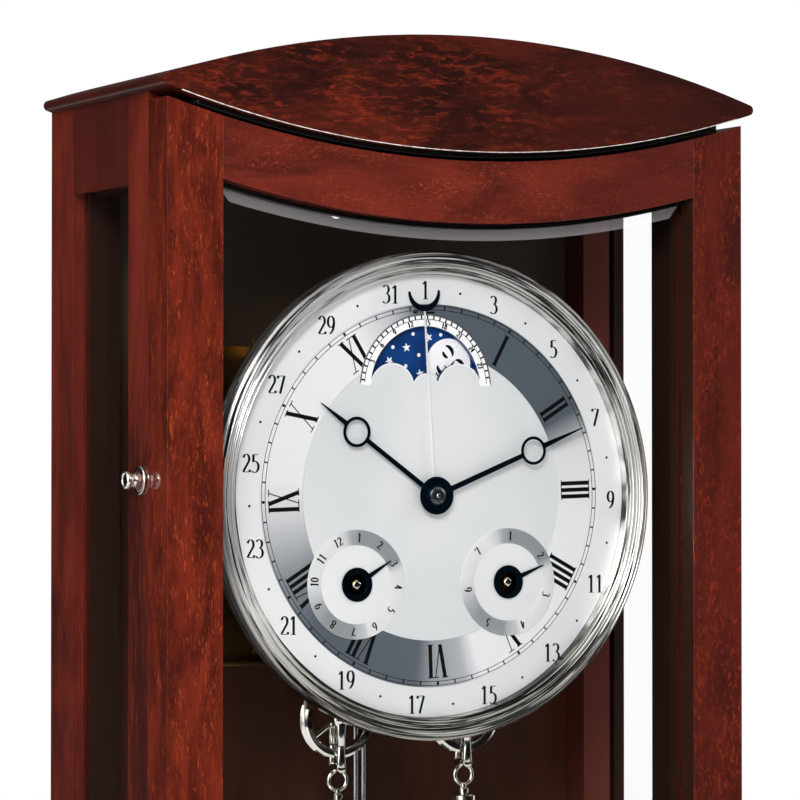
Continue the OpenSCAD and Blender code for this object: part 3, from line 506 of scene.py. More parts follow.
# %% Veneer the case
VENEERED = {"crown_front": (crown_wood, "crown_front_veneer", 0.8, 3),
            "base_front": (crown_wood, "crown_front_veneer", 0.8, 3),
            "crown_shell": (shell_wood, "crown_veneer", 0.8, 3),
            "base_shell": (shell_wood, "crown_veneer", 0.8, 3),
            "side_frame_left": (side_woods[0], "side_veneer", 0.14),
            "side_frame_right": (side_woods[1], "side_veneer", 0.14),
            "door_stile_left": (stile_wood, "door_veneer", 0.14),
            "door_stile_right": (far_stile_wood, "door_veneer", 0.14),
            "door_rail_top": (rail_wood, "door_veneer", 0.14),
            "door_rail_bottom": (rail_wood, "door_veneer", 0.14),
            "back_panel": (back_wood, "back_veneer", 0.5),
            "top_board": (inner_wood, "inner_wood", 0.5),
            "bottom_board": (inner_wood, "inner_wood", 0.5)}
for node, wear in VENEERED.items():
    dressed(node, *wear)
print("veneered pieces", len(VENEERED))

# %% [markdown]
# A painted highlight runs along the lower arris of the crown's front: a thin pale round bead that
# stands for the light caught on that edge, drawn by dragging a small circle along the arc of the
# crown's underside. The base has the same line, mirrored.

# %% The painted highlight on the crown's edge
LINE_R = 0.32
LINE_HALF = 172
LINE_IN = 0.25
LINE_STEPS = 120
EDGE_ROUND = 3
ARC_DROP = 28


def arc_through(half, rise):
    """Radius of the arc that spans twice the half and rises in the middle."""
    return (half ** 2 + rise ** 2) / (2 * rise)


crown_lo, crown_hi = measured("crown_front")
edge_radius = arc_through(crown_hi.x - EDGE_ROUND, ARC_DROP) + EDGE_ROUND
edge_mid = crown_lo.z + edge_radius
CASE_MID = (crown_hi.z + measured("base_front")[0].z) / 2


def bead_along(points, radius, sides=10):
    """A thin round bead along points that lie in an upright plane."""
    bm = bmesh.new()
    ring = bmesh.ops.create_circle(bm, segments=sides, radius=radius)["verts"]
    turn = (points[1] - points[0]).to_track_quat("Z", "Y").to_matrix()
    bmesh.ops.rotate(bm, verts=ring, cent=(0, 0, 0), matrix=turn)
    bmesh.ops.translate(bm, verts=ring, vec=points[0])
    loop = list(bm.edges)
    for before, after in zip(points, points[1:]):
        made = bmesh.ops.extrude_edge_only(bm, edges=loop)["geom"]
        moved = [part for part in made if isinstance(part, bmesh.types.BMVert)]
        bmesh.ops.translate(bm, verts=moved, vec=after - before)
        loop = [part for part in made if isinstance(part, bmesh.types.BMEdge)
                and all(vert in moved for vert in part.verts)]
    bmesh.ops.holes_fill(bm, edges=bm.edges, sides=sides)
    bmesh.ops.recalc_face_normals(bm, faces=bm.faces)
    return bm


# Painted highlight: the pale bead stands for the light on the crown's and the base's lower arrises.
pale = speckled("painted_highlight_line", 300, (0.35, 0.6), shade(196, 180, 172), shade(246, 240, 236), 0.3, 0.1)
line_points = []
for step in range(LINE_STEPS + 1):
    x = -LINE_HALF + 2 * LINE_HALF * step / LINE_STEPS
    z = edge_mid - math.sqrt(edge_radius ** 2 - x ** 2) + LINE_IN
    line_points.append(Vector((x, crown_lo.y + LINE_IN, z)))
put("crown_highlight_line", bead_along(line_points, LINE_R), "root", pale)
low_points = [Vector((point.x, point.y, 2 * CASE_MID - point.z)) for point in line_points]
put("base_highlight_line", bead_along(low_points, LINE_R), "root", pale)
print("fine line radius", round(edge_radius, 1))

# %% [markdown]
# The strip in the shadow gap and the beads behind the rails are plain black lacquer. Even a flat
# black shows fine dust and a slow ripple in its reflection.

# %% Black lacquer
def lacquer(name, colour):
    finish = Finish(name)
    dust = finish.noise(900, detail=1).between(0.62, 0.8)
    ripple = finish.noise(40, detail=1)
    sockets = {"Base Color": colour, "Roughness": 0.16 + 0.2 * dust,
               "Normal": finish.bump(ripple, 0.0004, 0.2)}
    return finish.surface(sockets)


black = lacquer("black_lacquer", shade(14, 12, 12))
BLACK_NODES = ("crown_strip", "door_beads")
for node in BLACK_NODES:
    dressed(node, black, "black_lacquer", 0.5, 3)
print("black pieces", len(BLACK_NODES))

# %% [markdown]
# Metals differ by three things: their colour, how finely they are brushed, and which way. Brushed
# sheet has long scratches along one axis; turned work has them round its axis; polished pieces show
# only faint haze. All three come from one function with a different scratch pattern.

# %% Metals
def metal(name, colour, roughness, scratches=260, depth=0.00002, tone=0.12, spread=0.1):
    finish = Finish(name)
    marks = finish.noise(scratches, detail=3, roughness=0.6)
    haze = finish.noise(22, detail=3)
    darker = tuple(part * (1 - tone) for part in colour[:3]) + (1,)
    sockets = {"Base Color": finish.mix(haze.between(0.3, 0.7), darker, colour),
               "Metallic": 1.0,
               "Roughness": roughness + spread * (marks - 0.5),
               "Normal": finish.bump(marks, depth, 0.3)}
    return finish.surface(sockets)


POLISHED_MARKS = 500
LEVEL_BRUSH = (30, 2600, 2600)
nickel = metal("polished_nickel", shade(232, 229, 222), 0.09, POLISHED_MARKS, spread=0.04)
steel = metal("polished_steel", shade(196, 200, 205), 0.2, POLISHED_MARKS)
zinc = metal("zinc_plate", shade(176, 180, 184), 0.4, 420, tone=0.3)
plate_brass = metal("plate_brass", shade(176, 138, 58), 0.3, LEVEL_BRUSH, tone=0.2)
seat_brass = metal("seat_brass", shade(126, 102, 58), 0.34, LEVEL_BRUSH, tone=0.3)
wheel_brass = metal("wheel_brass", shade(204, 164, 84), 0.24, (900, 60, 900))
hinge_brass = metal("hinge_brass", shade(182, 142, 66), 0.28, (600, 600, 60))
bell_brass = metal("bell_brass", shade(212, 168, 84), 0.16, 700)
blued = metal("blued_steel", shade(24, 52, 70), 0.3, POLISHED_MARKS, tone=0.3)

dressed("movement_seat", seat_brass, "plate_brass", 0.25)
dressed("suspension_cock", plate_brass, "plate_brass", 0.6)
dressed("bell", bell_brass, "bell_brass", 0.25)
dressed("hanger_plate", zinc, "zinc_steel", 0.3)
dressed("anchor", steel, "polished_steel", 0.15)
for node in ("seat_pillars", "movement_pillars"):
    dressed(node, wheel_brass, "wheel_brass", 0.4)
for node in ("movement_front_plate", "movement_back_plate", "dial_plate"):
    dressed(node, plate_brass, "plate_brass", 0.2)
for node in ("case_hinge_leaves", "door_hinge_leaves", "hinge_pins", "door_catch"):
    dressed(node, hinge_brass, "hinge_brass", 0.2)
for node in ("dial_feet", "motion_wheel", "centre_wheel", "second_wheel", "third_wheel", "escape_wheel",
             "drum_left", "drum_right"):
    dressed(node, wheel_brass, "wheel_brass", 0.1, 1)
print("metal pieces dressed")

# %% [markdown]
# Turned pieces are drawn as the lathe sees them: a profile of radius and depth, spun about the
# dial's axis. A rounded bead on the profile is an arc of points. The bezel is a flight of beads with a
# dark groove between each, which goes on round its side. Polished nickel shows its room in streaks
# that follow the ring, so its colour carries a painted reflection that runs round the dial: bright
# streaks at the sides, darker at the top and the bottom. The side behind the front beads would mirror
# only the dark inside of the case, so painted shade makes it dark.

# %% The bezel
def spun(bm, profile, x=0.0, z=0.0, steps=96, loop=False):
    """Spin a profile of (radius, depth) about the axis through x and z."""
    points = [bm.verts.new((x + radius, depth, z)) for radius, depth in profile]
    pairs = list(zip(points, points[1:]))
    if loop:
        pairs.append((points[-1], points[0]))
    edges = [bm.edges.new(pair) for pair in pairs]
    bmesh.ops.spin(bm, geom=points + edges, cent=(x, 0, z), axis=(0, 1, 0), angle=math.tau,
                   steps=steps, use_merge=True, use_duplicate=False)
    return closed(bm)


def bead(radius, depth, size, start=180, end=0, count=8):
    """An arc of the profile that bulges towards the front."""
    turns = [math.radians(start + (end - start) * step / count) for step in range(count + 1)]
    return [(radius + size * math.cos(turn), depth - size * math.sin(turn)) for turn in turns]


bezel_in = RING_OUT + 0.1
GROOVE = 0.1
BEZEL_BACK = DIAL_D + 6
bezel_foot = DIAL_D + 1
bezel_wall = 1.6
bezel_profile = [(bezel_in, bezel_foot)]
lip = bezel_in
# Size of each front bead, then how far its middle stands before the dial.
for size, rise in ((0.75, 4.6), (0.55, 5.6), (0.95, 6.4), (0.5, 7.4), (0.7, 8.0)):
    lip += size + GROOVE
    bezel_profile += bead(lip, DIAL_D - rise, size)
    lip += size + GROOVE + 0.02
    bezel_profile += [(lip - GROOVE, DIAL_D - rise + 1.1), (lip + GROOVE, DIAL_D - rise + 1.1)]
bezel_profile += bead(BEZEL_R - 3.5, DIAL_D - 8.6, 1.3)
bezel_profile += [(BEZEL_R - 2.15, DIAL_D - 7.5), (BEZEL_R - 1.95, DIAL_D - 7.5)]
bezel_profile += bead(BEZEL_R - 1.05, DIAL_D - 7.8, 0.9)
for rise in (6.4, 4.6, 2.8, 1.0):
    bezel_profile += bead(BEZEL_R - 0.8, DIAL_D - rise, 0.8, start=90, end=-90)
bezel_profile += [(BEZEL_R - 0.4, BEZEL_BACK), (BEZEL_R - bezel_wall, BEZEL_BACK),
                  (BEZEL_R - bezel_wall, bezel_foot)]
print("bezel steps end at", round(lip, 2), "and the outer beads start at", round(BEZEL_R - 4.8, 2))


def streaked_nickel(name):
    """Polished nickel whose colour is a painted reflection: streaks that follow a ring round the dial's
    centre.
    """
    finish = Finish(name)
    right, back, up = finish.from_point((0, 0, DIAL_UP))
    radius = (right ** 2 + up ** 2) ** 0.5
    share_up = up / radius
    along = {"X": right / radius * 2.4, "Y": radius * 620, "Z": share_up * 2.4}
    streak = finish.node("TexNoise", inputs={"Vector": finish.node("CombineXYZ", inputs=along), "Scale": 1,
                                             "Detail": 3, "Roughness": 0.6})
    # Painted reflection: bright streaks, darker towards the top, the top right and the bottom.
    top_right = (share_up + 0.45 * (right / radius)).between(0.6, 1.05) * 0.6
    bottom = (0 - share_up).between(0.35, 0.85)
    # Painted shade: the side behind the front beads is darkened.
    outside = radius.between((BEZEL_R - 2.2) * MM, (BEZEL_R - 1.8) * MM)
    side = outside * back.between(DOOR_FACE + (DIAL_D - 6.9) * MM, DOOR_FACE + (DIAL_D - 6.1) * MM)
    ends = top_right.maths("MAXIMUM", top_right, bottom)
    bright = (streak - 0.1 * ends).between(0.36, 0.48)
    tone = finish.mix(ends, shade(240, 239, 236), shade(186, 184, 178))
    polished = finish.mix(bright, shade(58, 56, 54), tone)
    sockets = {"Base Color": finish.mix(side * 0.8, polished, shade(40, 38, 37)), "Metallic": 0.72,
               "Roughness": 0.08 + 0.08 * streak}
    return finish.surface(sockets)


bm = spun(bmesh.new(), bezel_profile, steps=240, loop=True)
put("bezel_rings", bm, "root", streaked_nickel("bezel_nickel"), ["bezel"], soft_below=40)
print("bezel profile points", len(bezel_profile))

# %% [markdown]
# The date ring and the centre are silvered: matte, pale and very finely grained. The hour ring and
# the two small rings are polished with circular strokes. Such a ring sends the studio's light back
# in two bright lobes with dark ones between, like a bow tie, so its colour here is a painted
# reflection that follows the angle round its own centre, over fine circular grooves.

# %% Silvered and polished rings
def silvered(name, pale, greyer):
    finish = Finish(name)
    slow = finish.noise((14, 14, 9), detail=2)
    grain = finish.noise(2600, detail=1)
    tone = finish.mix(slow.between(0.35, 0.65), greyer, pale)
    sockets = {"Base Color": finish.mix(grain.between(0.4, 0.8) * 0.12, tone, greyer),
               "Metallic": 0.1,
               "Roughness": 0.45 + 0.1 * (grain - 0.5),
               "Normal": finish.bump(grain, 0.00002, 0.25)}
    return finish.surface(sockets)


# How bright the painted reflection's lobe is at each angle, from the dark tone at 0 to the bright one at 1.
RING_DARK = (84, 93, 101)
RING_BRIGHT = (238, 238, 239)
RING_CALM = (214, 214, 214)
RING_LOBES = [(0, 0), (62, 0), (67, 0.43), (74, 0.92), (100, 0.99), (163, 0.99), (169, 0.6), (180, 0.43),
              (186, 0.04), (226, 0.01), (244, 0.34), (262, 0.79), (275, 0.98), (332, 1), (345, 0.73),
              (354, 0.18)]


def blended(first, second, amount):
    """A tone between two others."""
    return [low + (high - low) * amount for low, high in zip(first, second)]


def polished_ring(name, x=0.0, z=0.0, calm=0.0):
    finish = Finish(name)
    right, _, up = finish.from_point(TO_CLOCK @ Vector((x, 0, z)))
    # Painted reflection: the colour follows the angle round the ring's centre, in bright and dark lobes.
    turn = right.maths("ARCTAN2", right, up) / math.tau
    share = turn.maths("FRACT", turn + 1)
    stops = [(angle / 360, shade(*blended(blended(RING_DARK, RING_BRIGHT, bright), RING_CALM, calm)))
             for angle, bright in RING_LOBES]
    lobes = finish.node("ValToRGB", {"stops": stops}, {0: share})
    radius = (right ** 2 + up ** 2) ** 0.5
    groove = radius.maths("SINE", radius * 24000)
    sockets = {"Base Color": lobes, "Metallic": 0.15, "Roughness": 0.34,
               "Normal": finish.bump(groove, 0.00001, 0.2)}
    return finish.surface(sockets)


date_silver = silvered("date_ring_silver", shade(231, 232, 232), shade(219, 221, 222))
centre_silver = silvered("centre_silver", shade(221, 223, 223), shade(212, 215, 216))
dressed("date_ring", date_silver, "silvered_ring", 0.15)
dressed("centre_disc", centre_silver, "silvered_centre", 0.15)
dressed("hour_ring", polished_ring("hour_ring_polish"), "polished_ring", 0.1)
print("lobe stops", len(RING_LOBES))

# %% The small dials
small_lo, small_hi = measured("small_dial_rings")
SMALL_R = (small_hi.z - small_lo.z) / 2
SMALL_X = small_hi.x - SMALL_R
SMALL_Z = (small_hi.z + small_lo.z) / 2
SMALL_RING_W = 8.4
SMALL_HOLE = 8.05
RING_D = small_lo.y
for side, label in ((-1, "month"), (1, "weekday")):
    x = side * SMALL_X
    rim = [(SMALL_R - SMALL_RING_W, DIAL_D), (SMALL_R - SMALL_RING_W, RING_D + 0.1),
           (SMALL_R - SMALL_RING_W + 0.2, RING_D), (SMALL_R - 0.2, RING_D),
           (SMALL_R, RING_D + 0.1), (SMALL_R, DIAL_D)]
    bm = spun(bmesh.new(), rim, x, SMALL_Z, steps=128, loop=True)
    finish = polished_ring(label + "_ring_polish", x, SMALL_Z, calm=0.45)
    put(label + "_ring", bm, "root", finish, ["small_dial_rings"])
    disc = [(SMALL_HOLE, DIAL_D), (SMALL_HOLE, DIAL_D - 0.14), (SMALL_R - SMALL_RING_W, DIAL_D - 0.14),
            (SMALL_R - SMALL_RING_W, DIAL_D)]
    bm = spun(bmesh.new(), disc, x, SMALL_Z, loop=True)
    put(label + "_disc", bm, "root", date_silver)
print("small dials at", round(SMALL_X, 2), round(SMALL_Z, 2))

# %% [markdown]
# Printed figures are thin layers of black ink, so each is drawn as a pen would draw it. A `stroke`
# follows points in the plane of the dial and is wide where it runs upright and thin where it runs
# level, which is what gives old numerals their look. The edge at the pen's tip is extruded from
# point to point, and the flat strokes then get the thickness of ink.

# %% Pen strokes
INK_T = 0.04


def pen_path(bm, points, halves, place):
    """Drag an edge along the points; halves is half its width at each of them."""
    last = []
    for index, point in enumerate(points):
        before, after = points[max(index - 1, 0)], points[min(index + 1, len(points) - 1)]
        along = (Vector(after) - Vector(before)).normalized()
        aside = Vector((-along.y, along.x)) * halves[index]
        ends = [place(point[0] + aside.x, point[1] + aside.y), place(point[0] - aside.x, point[1] - aside.y)]
        if not last:
            last = [bm.verts.new(end) for end in ends]
            edge = bm.edges.new(last)
            continue
        made = bmesh.ops.extrude_edge_only(bm, edges=[edge])["geom"]
        fresh = [part for part in made if isinstance(part, bmesh.types.BMVert)]
        if not any(link.other_vert(fresh[0]) == last[0] for link in fresh[0].link_edges):
            fresh.reverse()
        for vert, end in zip(fresh, ends):
            vert.co = end
        last = fresh
        edge = next(part for part in made if isinstance(part, bmesh.types.BMEdge)
                    and set(part.verts) == set(fresh))


def stroke(bm, points, place, thick, thin):
    """A pen stroke that is thick where it runs upright."""
    halves = []
    for index in range(len(points)):
        before, after = points[max(index - 1, 0)], points[min(index + 1, len(points) - 1)]
        along = (Vector(after) - Vector(before)).normalized()
        halves.append((thin + (thick - thin) * abs(along.y) ** 1.6) / 2)
    pen_path(bm, points, halves, place)


def inked(bm, depth, thickness=INK_T):
    """Give flat strokes their thickness, from just inside the surface to just above it."""
    layer = bmesh.ops.extrude_face_region(bm, geom=bm.faces[:])["geom"]
    raised = [part for part in layer if isinstance(part, bmesh.types.BMVert)]
    bmesh.ops.translate(bm, verts=raised, vec=(0, -thickness, 0))
    bmesh.ops.translate(bm, verts=bm.verts, vec=(0, depth + thickness / 2, 0))
    bmesh.ops.recalc_face_normals(bm, faces=bm.faces)


def printed(name, bm, depth, material, body="root", thickness=INK_T):
    """Thicken a flat drawing and put it on the surface at a depth."""
    inked(bm, depth, thickness)
    put(name, bm, body, material)


print("ink is", INK_T, "thick")


# %% Figures
def curve(x, y, wide, tall, start, end, count=14):
    """Points along part of an ellipse, with angles in degrees from the right, anticlockwise."""
    turns = [math.radians(start + (end - start) * step / count) for step in range(count + 1)]
    return [(x + wide * math.cos(turn), y + tall * math.sin(turn)) for turn in turns]


# Each figure fills a cell that is 1 high and 0.44 wide.
DIGITS = {
    "0": [curve(0.22, 0.5, 0.18, 0.48, 90, 450, 28)],
    "1": [[(0.22, 0.02), (0.22, 0.98)], [(0.05, 0.82), (0.14, 0.89), (0.22, 0.98)],
          [(0.08, 0.015), (0.36, 0.015)]],
    "2": [curve(0.21, 0.73, 0.17, 0.25, 165, -40) + [(0.03, 0.05)], [(0.02, 0.04), (0.41, 0.04)],
          [(0.405, 0.03), (0.42, 0.16)]],
    "3": [curve(0.18, 0.76, 0.17, 0.22, 150, -90), curve(0.17, 0.28, 0.22, 0.27, 90, -140)],
    "4": [[(0.29, 0.98), (0.02, 0.3)], [(0.02, 0.29), (0.42, 0.29)], [(0.3, 0.02), (0.3, 0.98)]],
    "5": [[(0.1, 0.95), (0.38, 0.97)], [(0.1, 0.96), (0.09, 0.56)],
          [(0.09, 0.56)] + curve(0.16, 0.31, 0.23, 0.3, 110, -130)],
    "6": [curve(0.22, 0.31, 0.18, 0.3, 90, 450, 24), curve(0.36, 0.36, 0.32, 0.6, 180, 100)],
    "7": [[(0.03, 0.94), (0.42, 0.94)], [(0.035, 0.95), (0.03, 0.8)], [(0.41, 0.94), (0.15, 0.0)]],
    "8": [curve(0.22, 0.75, 0.15, 0.23, 90, 450, 24), curve(0.22, 0.27, 0.19, 0.26, 90, 450, 24)],
    "9": [curve(0.22, 0.69, 0.18, 0.3, 90, 450, 24), curve(0.08, 0.64, 0.32, 0.6, 0, -80)],
}
print("figures drawn", len(DIGITS))

# %% [markdown]
# Placing is separate from drawing. A place is a small function from the figure's own plane to the
# dial's: `upright` sets figures level wherever they stand, as on the date ring, and `outward` turns
# them with their feet towards a centre, as on the hour ring and the small dials.

# %% Set figures on the dial
def on_circle(radius, angle, x=0.0, z=0.0):
    """The point at a clockwise angle from the top of a circle."""
    turn = math.radians(angle)
    return x + radius * math.sin(turn), z + radius * math.cos(turn)


def level_at(x=0.0, z=0.0):
    return lambda u, v: Vector((x + u, 0, z + v))


def upright(radius, angle):
    return level_at(*on_circle(radius, angle))


def outward(radius, angle, x=0.0, z=0.0):
    turn = math.radians(angle)
    across, away = Vector((math.cos(turn), 0, -math.sin(turn))), Vector((math.sin(turn), 0, math.cos(turn)))
    return lambda u, v: Vector((x, 0, z)) + across * u + away * (radius + v)


def number(bm, text, height, place, thick, thin, step=0.5):
    """Draw a number with its middle at the place's zero."""
    left = -(step * (len(text) - 1) + 0.44) * height / 2
    for index, digit in enumerate(text):
        start = left + index * step * height
        for points in DIGITS[digit]:
            drawn = [(start + u * height, (v - 0.5) * height) for u, v in points]
            stroke(bm, drawn, place, thick, thin)


def dot(bm, place, radius, sides=12):
    made = bmesh.ops.create_circle(bm, cap_ends=True, segments=sides, radius=radius)["verts"]
    for vert in made:
        vert.co = place(vert.co.x, vert.co.y)


print("ring's lowest point", on_circle(1, 180))

# %% Print the days
INK_BLACK = shade(9, 9, 12)
ink = speckled("black_ink", 3000, (0.4, 0.6), INK_BLACK, INK_BLACK, 0.5, 0.2, detail=1,
               **{"Specular IOR Level": 0.1})

DATE_H = 10.2
DAYS = 31
# The whole dial is set a little anticlockwise in its case.
DIAL_TURN = -1.8


def wander(angle, middle, once, twice):
    """A value that drifts round the dial, once and twice a turn, as print on a hand-set ring does."""
    turn = math.radians(angle)
    value = middle + once[0] * math.cos(turn) + once[1] * math.sin(turn)
    return value + twice[0] * math.cos(2 * turn) + twice[1] * math.sin(2 * turn)


bm = bmesh.new()
for day in range(1, DAYS + 1):
    angle = (day - 1) * 360 / DAYS
    reach = wander(angle, 114.2, (-1.08, 1.09), (0.58, -1.17))
    place = upright(reach, wander(angle, angle - 1.02, (-0.86, -0.91), (-0.43, -0.96)))
    if day % 2:
        number(bm, str(day), DATE_H, place, 1.5, 0.42, step=0.53)
    else:
        dot(bm, place, 0.75)
printed("date_figures", bm, DIAL_D, ink)
print("numbers on the date ring", (DAYS + 1) // 2)

# %% [markdown]
# The hours are roman numerals with their feet towards the centre, each built from straight thick and
# thin bars with level serifs. The top hour is left out, because the moon's scale covers it. Outside
# them runs the minute track: two fine circles with a tick at each minute and a spot at each hour.

# %% Hours and minutes
NUMERAL_IN = 82.3
NUMERAL_H = 18.6
THICK = 2.3
THIN = 0.6
SERIF = 0.55
LETTER_W = {"I": 3.7, "V": 8.4, "X": 8.6}


def bar(bm, start, end, width, place):
    pen_path(bm, [start, end], [width / 2, width / 2], place)


def letter(bm, name, left, place):
    """One roman letter; its serifs are thin bars across the ends."""
    width = LETTER_W[name]
    middle, right = left + width / 2, left + width
    ends = {"I": [middle], "V": [left + 1.3, right - 1.1], "X": [left + 1.3, right - 1.3]}[name]
    for x in ends:
        half = 2.0 if name != "I" else LETTER_W["I"] / 2
        bar(bm, (x - half, NUMERAL_H - SERIF / 2), (x + half, NUMERAL_H - SERIF / 2), SERIF, place)
        if name != "V":
            bar(bm, (x - half, SERIF / 2), (x + half, SERIF / 2), SERIF, place)
    if name == "I":
        bar(bm, (middle, 0), (middle, NUMERAL_H), THICK, place)
    elif name == "V":
        bar(bm, (ends[0], NUMERAL_H), (middle, 0.2), THICK, place)
        bar(bm, (middle + 0.2, 0.2), (ends[1], NUMERAL_H), THIN, place)
    else:
        bar(bm, (ends[0], NUMERAL_H), (ends[1], 0), THICK, place)
        bar(bm, (ends[1], NUMERAL_H), (ends[0], 0), THIN, place)


HOURS = ["I", "II", "III", "IIII", "V", "VI", "VII", "VIII", "IX", "X", "XI"]
HOUR_D = measured("hour_ring")[0].y
bm = bmesh.new()
for hour, text in enumerate(HOURS, start=1):
    place = outward(NUMERAL_IN, hour * 30 + DIAL_TURN)
    left = -sum(LETTER_W[name] for name in text) / 2
    for name in text:
        letter(bm, name, left, place)
        left += LETTER_W[name]
printed("hour_numerals", bm, HOUR_D, ink)
print("hour numerals", len(HOURS))


# %% The minute track
def printed_ring(bm, radius, width, x=0.0, z=0.0, steps=180, start=0, end=360):
    """A fine printed circle, or part of one."""
    count = max(2, round(steps * (end - start) / 360))
    angles = [start + (end - start) * step / count for step in range(count + 1)]
    points = [on_circle(radius, angle, x, z) for angle in angles]
    pen_path(bm, points, [width / 2] * len(points), level_at())


TRACK = (102.8, 105.0)
LINE = 0.36
bm = bmesh.new()
for radius in TRACK:
    printed_ring(bm, radius, LINE)
for minute in range(60):
    place = outward(TRACK[0], minute * 6 + DIAL_TURN)
    bar(bm, (0, 0), (0, TRACK[1] - TRACK[0]), 0.8, place)
    if minute % 5 == 0:
        dot(bm, outward(sum(TRACK) / 2, minute * 6 + DIAL_TURN), 0.85)
printed("minute_track", bm, HOUR_D, ink)
print("minute track from", TRACK[0], "to", TRACK[1])

# %% [markdown]
# The month and weekday rings carry plain numbers, 1 to 12 and 1 to 7, set round their own centres.

# %% Months and weekdays
bm = bmesh.new()
SMALL_TEXT_R = SMALL_R - SMALL_RING_W / 2
for count, x in ((12, -SMALL_X), (7, SMALL_X)):
    for index in range(count):
        place = outward(SMALL_TEXT_R, index * 360 / count + 4, x, SMALL_Z)
        number(bm, str(index + 1), 4.8, place, 0.9, 0.34, step=0.52)
printed("calendar_figures", bm, RING_D, ink)
print("small figures stand at radius", round(SMALL_TEXT_R, 2))

# %% [markdown]
# The moon turns once in two lunations behind an arched opening. Its disc is enamelled a deep blue
# with white stars and a white moon that carries a simple drawn face, tilted because the disc has
# turned. The stars are ten-sided circles whose every other corner is drawn in.

# %% The moon disc
moon_lo, moon_hi = measured("moon_disc")
MOON_X = (moon_lo.x + moon_hi.x) / 2
MOON_Z = (moon_lo.z + moon_hi.z) / 2
MOON_DISC_D = moon_lo.y
MOON_OPEN_R = (moon_hi.x - moon_lo.x) / 2 - 1.8

blue = speckled("blue_enamel", 60, (0.35, 0.65), shade(0, 46, 100), shade(0, 58, 124), 0.3, 0.08)
dressed("moon_disc", blue, "blue_lacquer", 0.1, 1)
white = speckled("white_enamel", 500, (0.4, 0.7), shade(238, 237, 239), shade(245, 245, 247), 0.4, 0.1)


def star(bm, x, z, radius, turn):
    """A five-pointed star: a ten-sided face with every other corner drawn in."""
    corners = bmesh.ops.create_circle(bm, cap_ends=True, segments=10, radius=radius)["verts"]
    bmesh.ops.scale(bm, vec=(0.4, 0.4, 1), verts=corners[1::2])
    spin = Matrix.Rotation(math.radians(turn), 3, "Z")
    for vert in corners:
        flat = spin @ vert.co
        vert.co = Vector((x + flat.x, 0, z + flat.y))


# The stars are placed as seen; the disc lies deeper than the dial, so they all move to the right.
DISC_SHIFT = (MOON_DISC_D - DIAL_D) * math.tan(AZIMUTH)
STARS = [(-16.5, 81.8, 8), (-2.6, 87.6, 20), (-27.2, 74.4, 35), (-8.0, 67.4, 12), (26.3, 68.5, 30),
         (-38, 44, 5), (-20, 30, 15), (12, 38, 25)]
SPOTS = [(-12.4, 89.4), (-25.0, 81.9), (-8.8, 77.8), (-17.0, 71.6), (5.0, 89.2), (-30, 52), (18, 48)]
bm = bmesh.new()
for x, z, turn in STARS:
    star(bm, x + DISC_SHIFT, z, 2.7, turn)
for x, z in SPOTS:
    dot(bm, level_at(x + DISC_SHIFT, z), 1.05)
printed("stars", bm, MOON_DISC_D, white, "moon", 0.05)

MOON_BALL_R = 13.9
MOON_REACH = 21.4
FACE_TURN = 48.8
moon_middles = [on_circle(MOON_REACH, FACE_TURN + half * 180, MOON_X, MOON_Z) for half in (0, 1)]
bm = bmesh.new()
for x, z in moon_middles:
    dot(bm, level_at(x, z), MOON_BALL_R, sides=72)
printed("moons", bm, MOON_DISC_D, white, "moon", 0.07)
print("stars", len(STARS), "spots", len(SPOTS))

# %% The moon's face
# The face in the moon's own plane, with its chin towards the disc's axis.
FACE_LINES = [
    (curve(-5.2, 3.4, 4.0, 3.2, 20, 150), 0.5, 2.2),
    (curve(5.2, 3.4, 4.0, 3.2, 160, 30), 0.5, 2.2),
    (curve(-4.9, 2.2, 2.2, 1.1, -10, -170), 0.6, 1.9),
    (curve(4.9, 2.2, 2.2, 1.1, -170, -10), 0.6, 1.9),
    ([(1.4, 3.8), (1.9, 1.0), (2.6, -1.6), (1.2, -2.9), (-0.9, -2.5)], 0.6, 1.4),
    (curve(0.2, -5.4, 3.8, 1.8, 190, 350), 0.5, 2.2),
    (curve(0.2, -8.8, 1.8, 0.7, 200, 340), 0.4, 0.9),
]
bm = bmesh.new()
for half, (x, z) in enumerate(moon_middles):
    place = outward(MOON_REACH, FACE_TURN + half * 180, MOON_X, MOON_Z)
    for points, thin, thick in FACE_LINES:
        shares = [math.sin(math.pi * index / (len(points) - 1)) for index in range(len(points))]
        pen_path(bm, points, [(thin + (thick - thin) * share) / 2 for share in shares], place)
printed("moon_face", bm, MOON_DISC_D - 0.04, ink, "moon", 0.05)
print("lines of the face", len(FACE_LINES))

# %% [markdown]
# Round the opening stands a white arch with the moon's age in days: a track of ticks outside and
# small numbers inside. Along the two humps and the hub of the opening runs a thin white printed line,
# a painted highlight for the light that a bevelled edge would catch.

# %% The moon's scale
ARCH_OUT = 41.2
ARCH_TRACK = (38.3, 40.6)
ARCH_FROM, ARCH_TO = -87.5, 87.5
ARCH_D = HOUR_D - 0.35
AGE_DAYS = 29.5


def arch_angle(day):
    return ARCH_FROM + 4 + (ARCH_TO - ARCH_FROM - 8) * day / AGE_DAYS


ARCH_IN = MOON_OPEN_R + 0.15
bm = bmesh.new()
printed_ring(bm, (ARCH_IN + ARCH_OUT) / 2, ARCH_OUT - ARCH_IN, MOON_X, MOON_Z, 185, ARCH_FROM, ARCH_TO)
printed("moon_arch", bm, ARCH_D + 0.15, white, thickness=0.3)

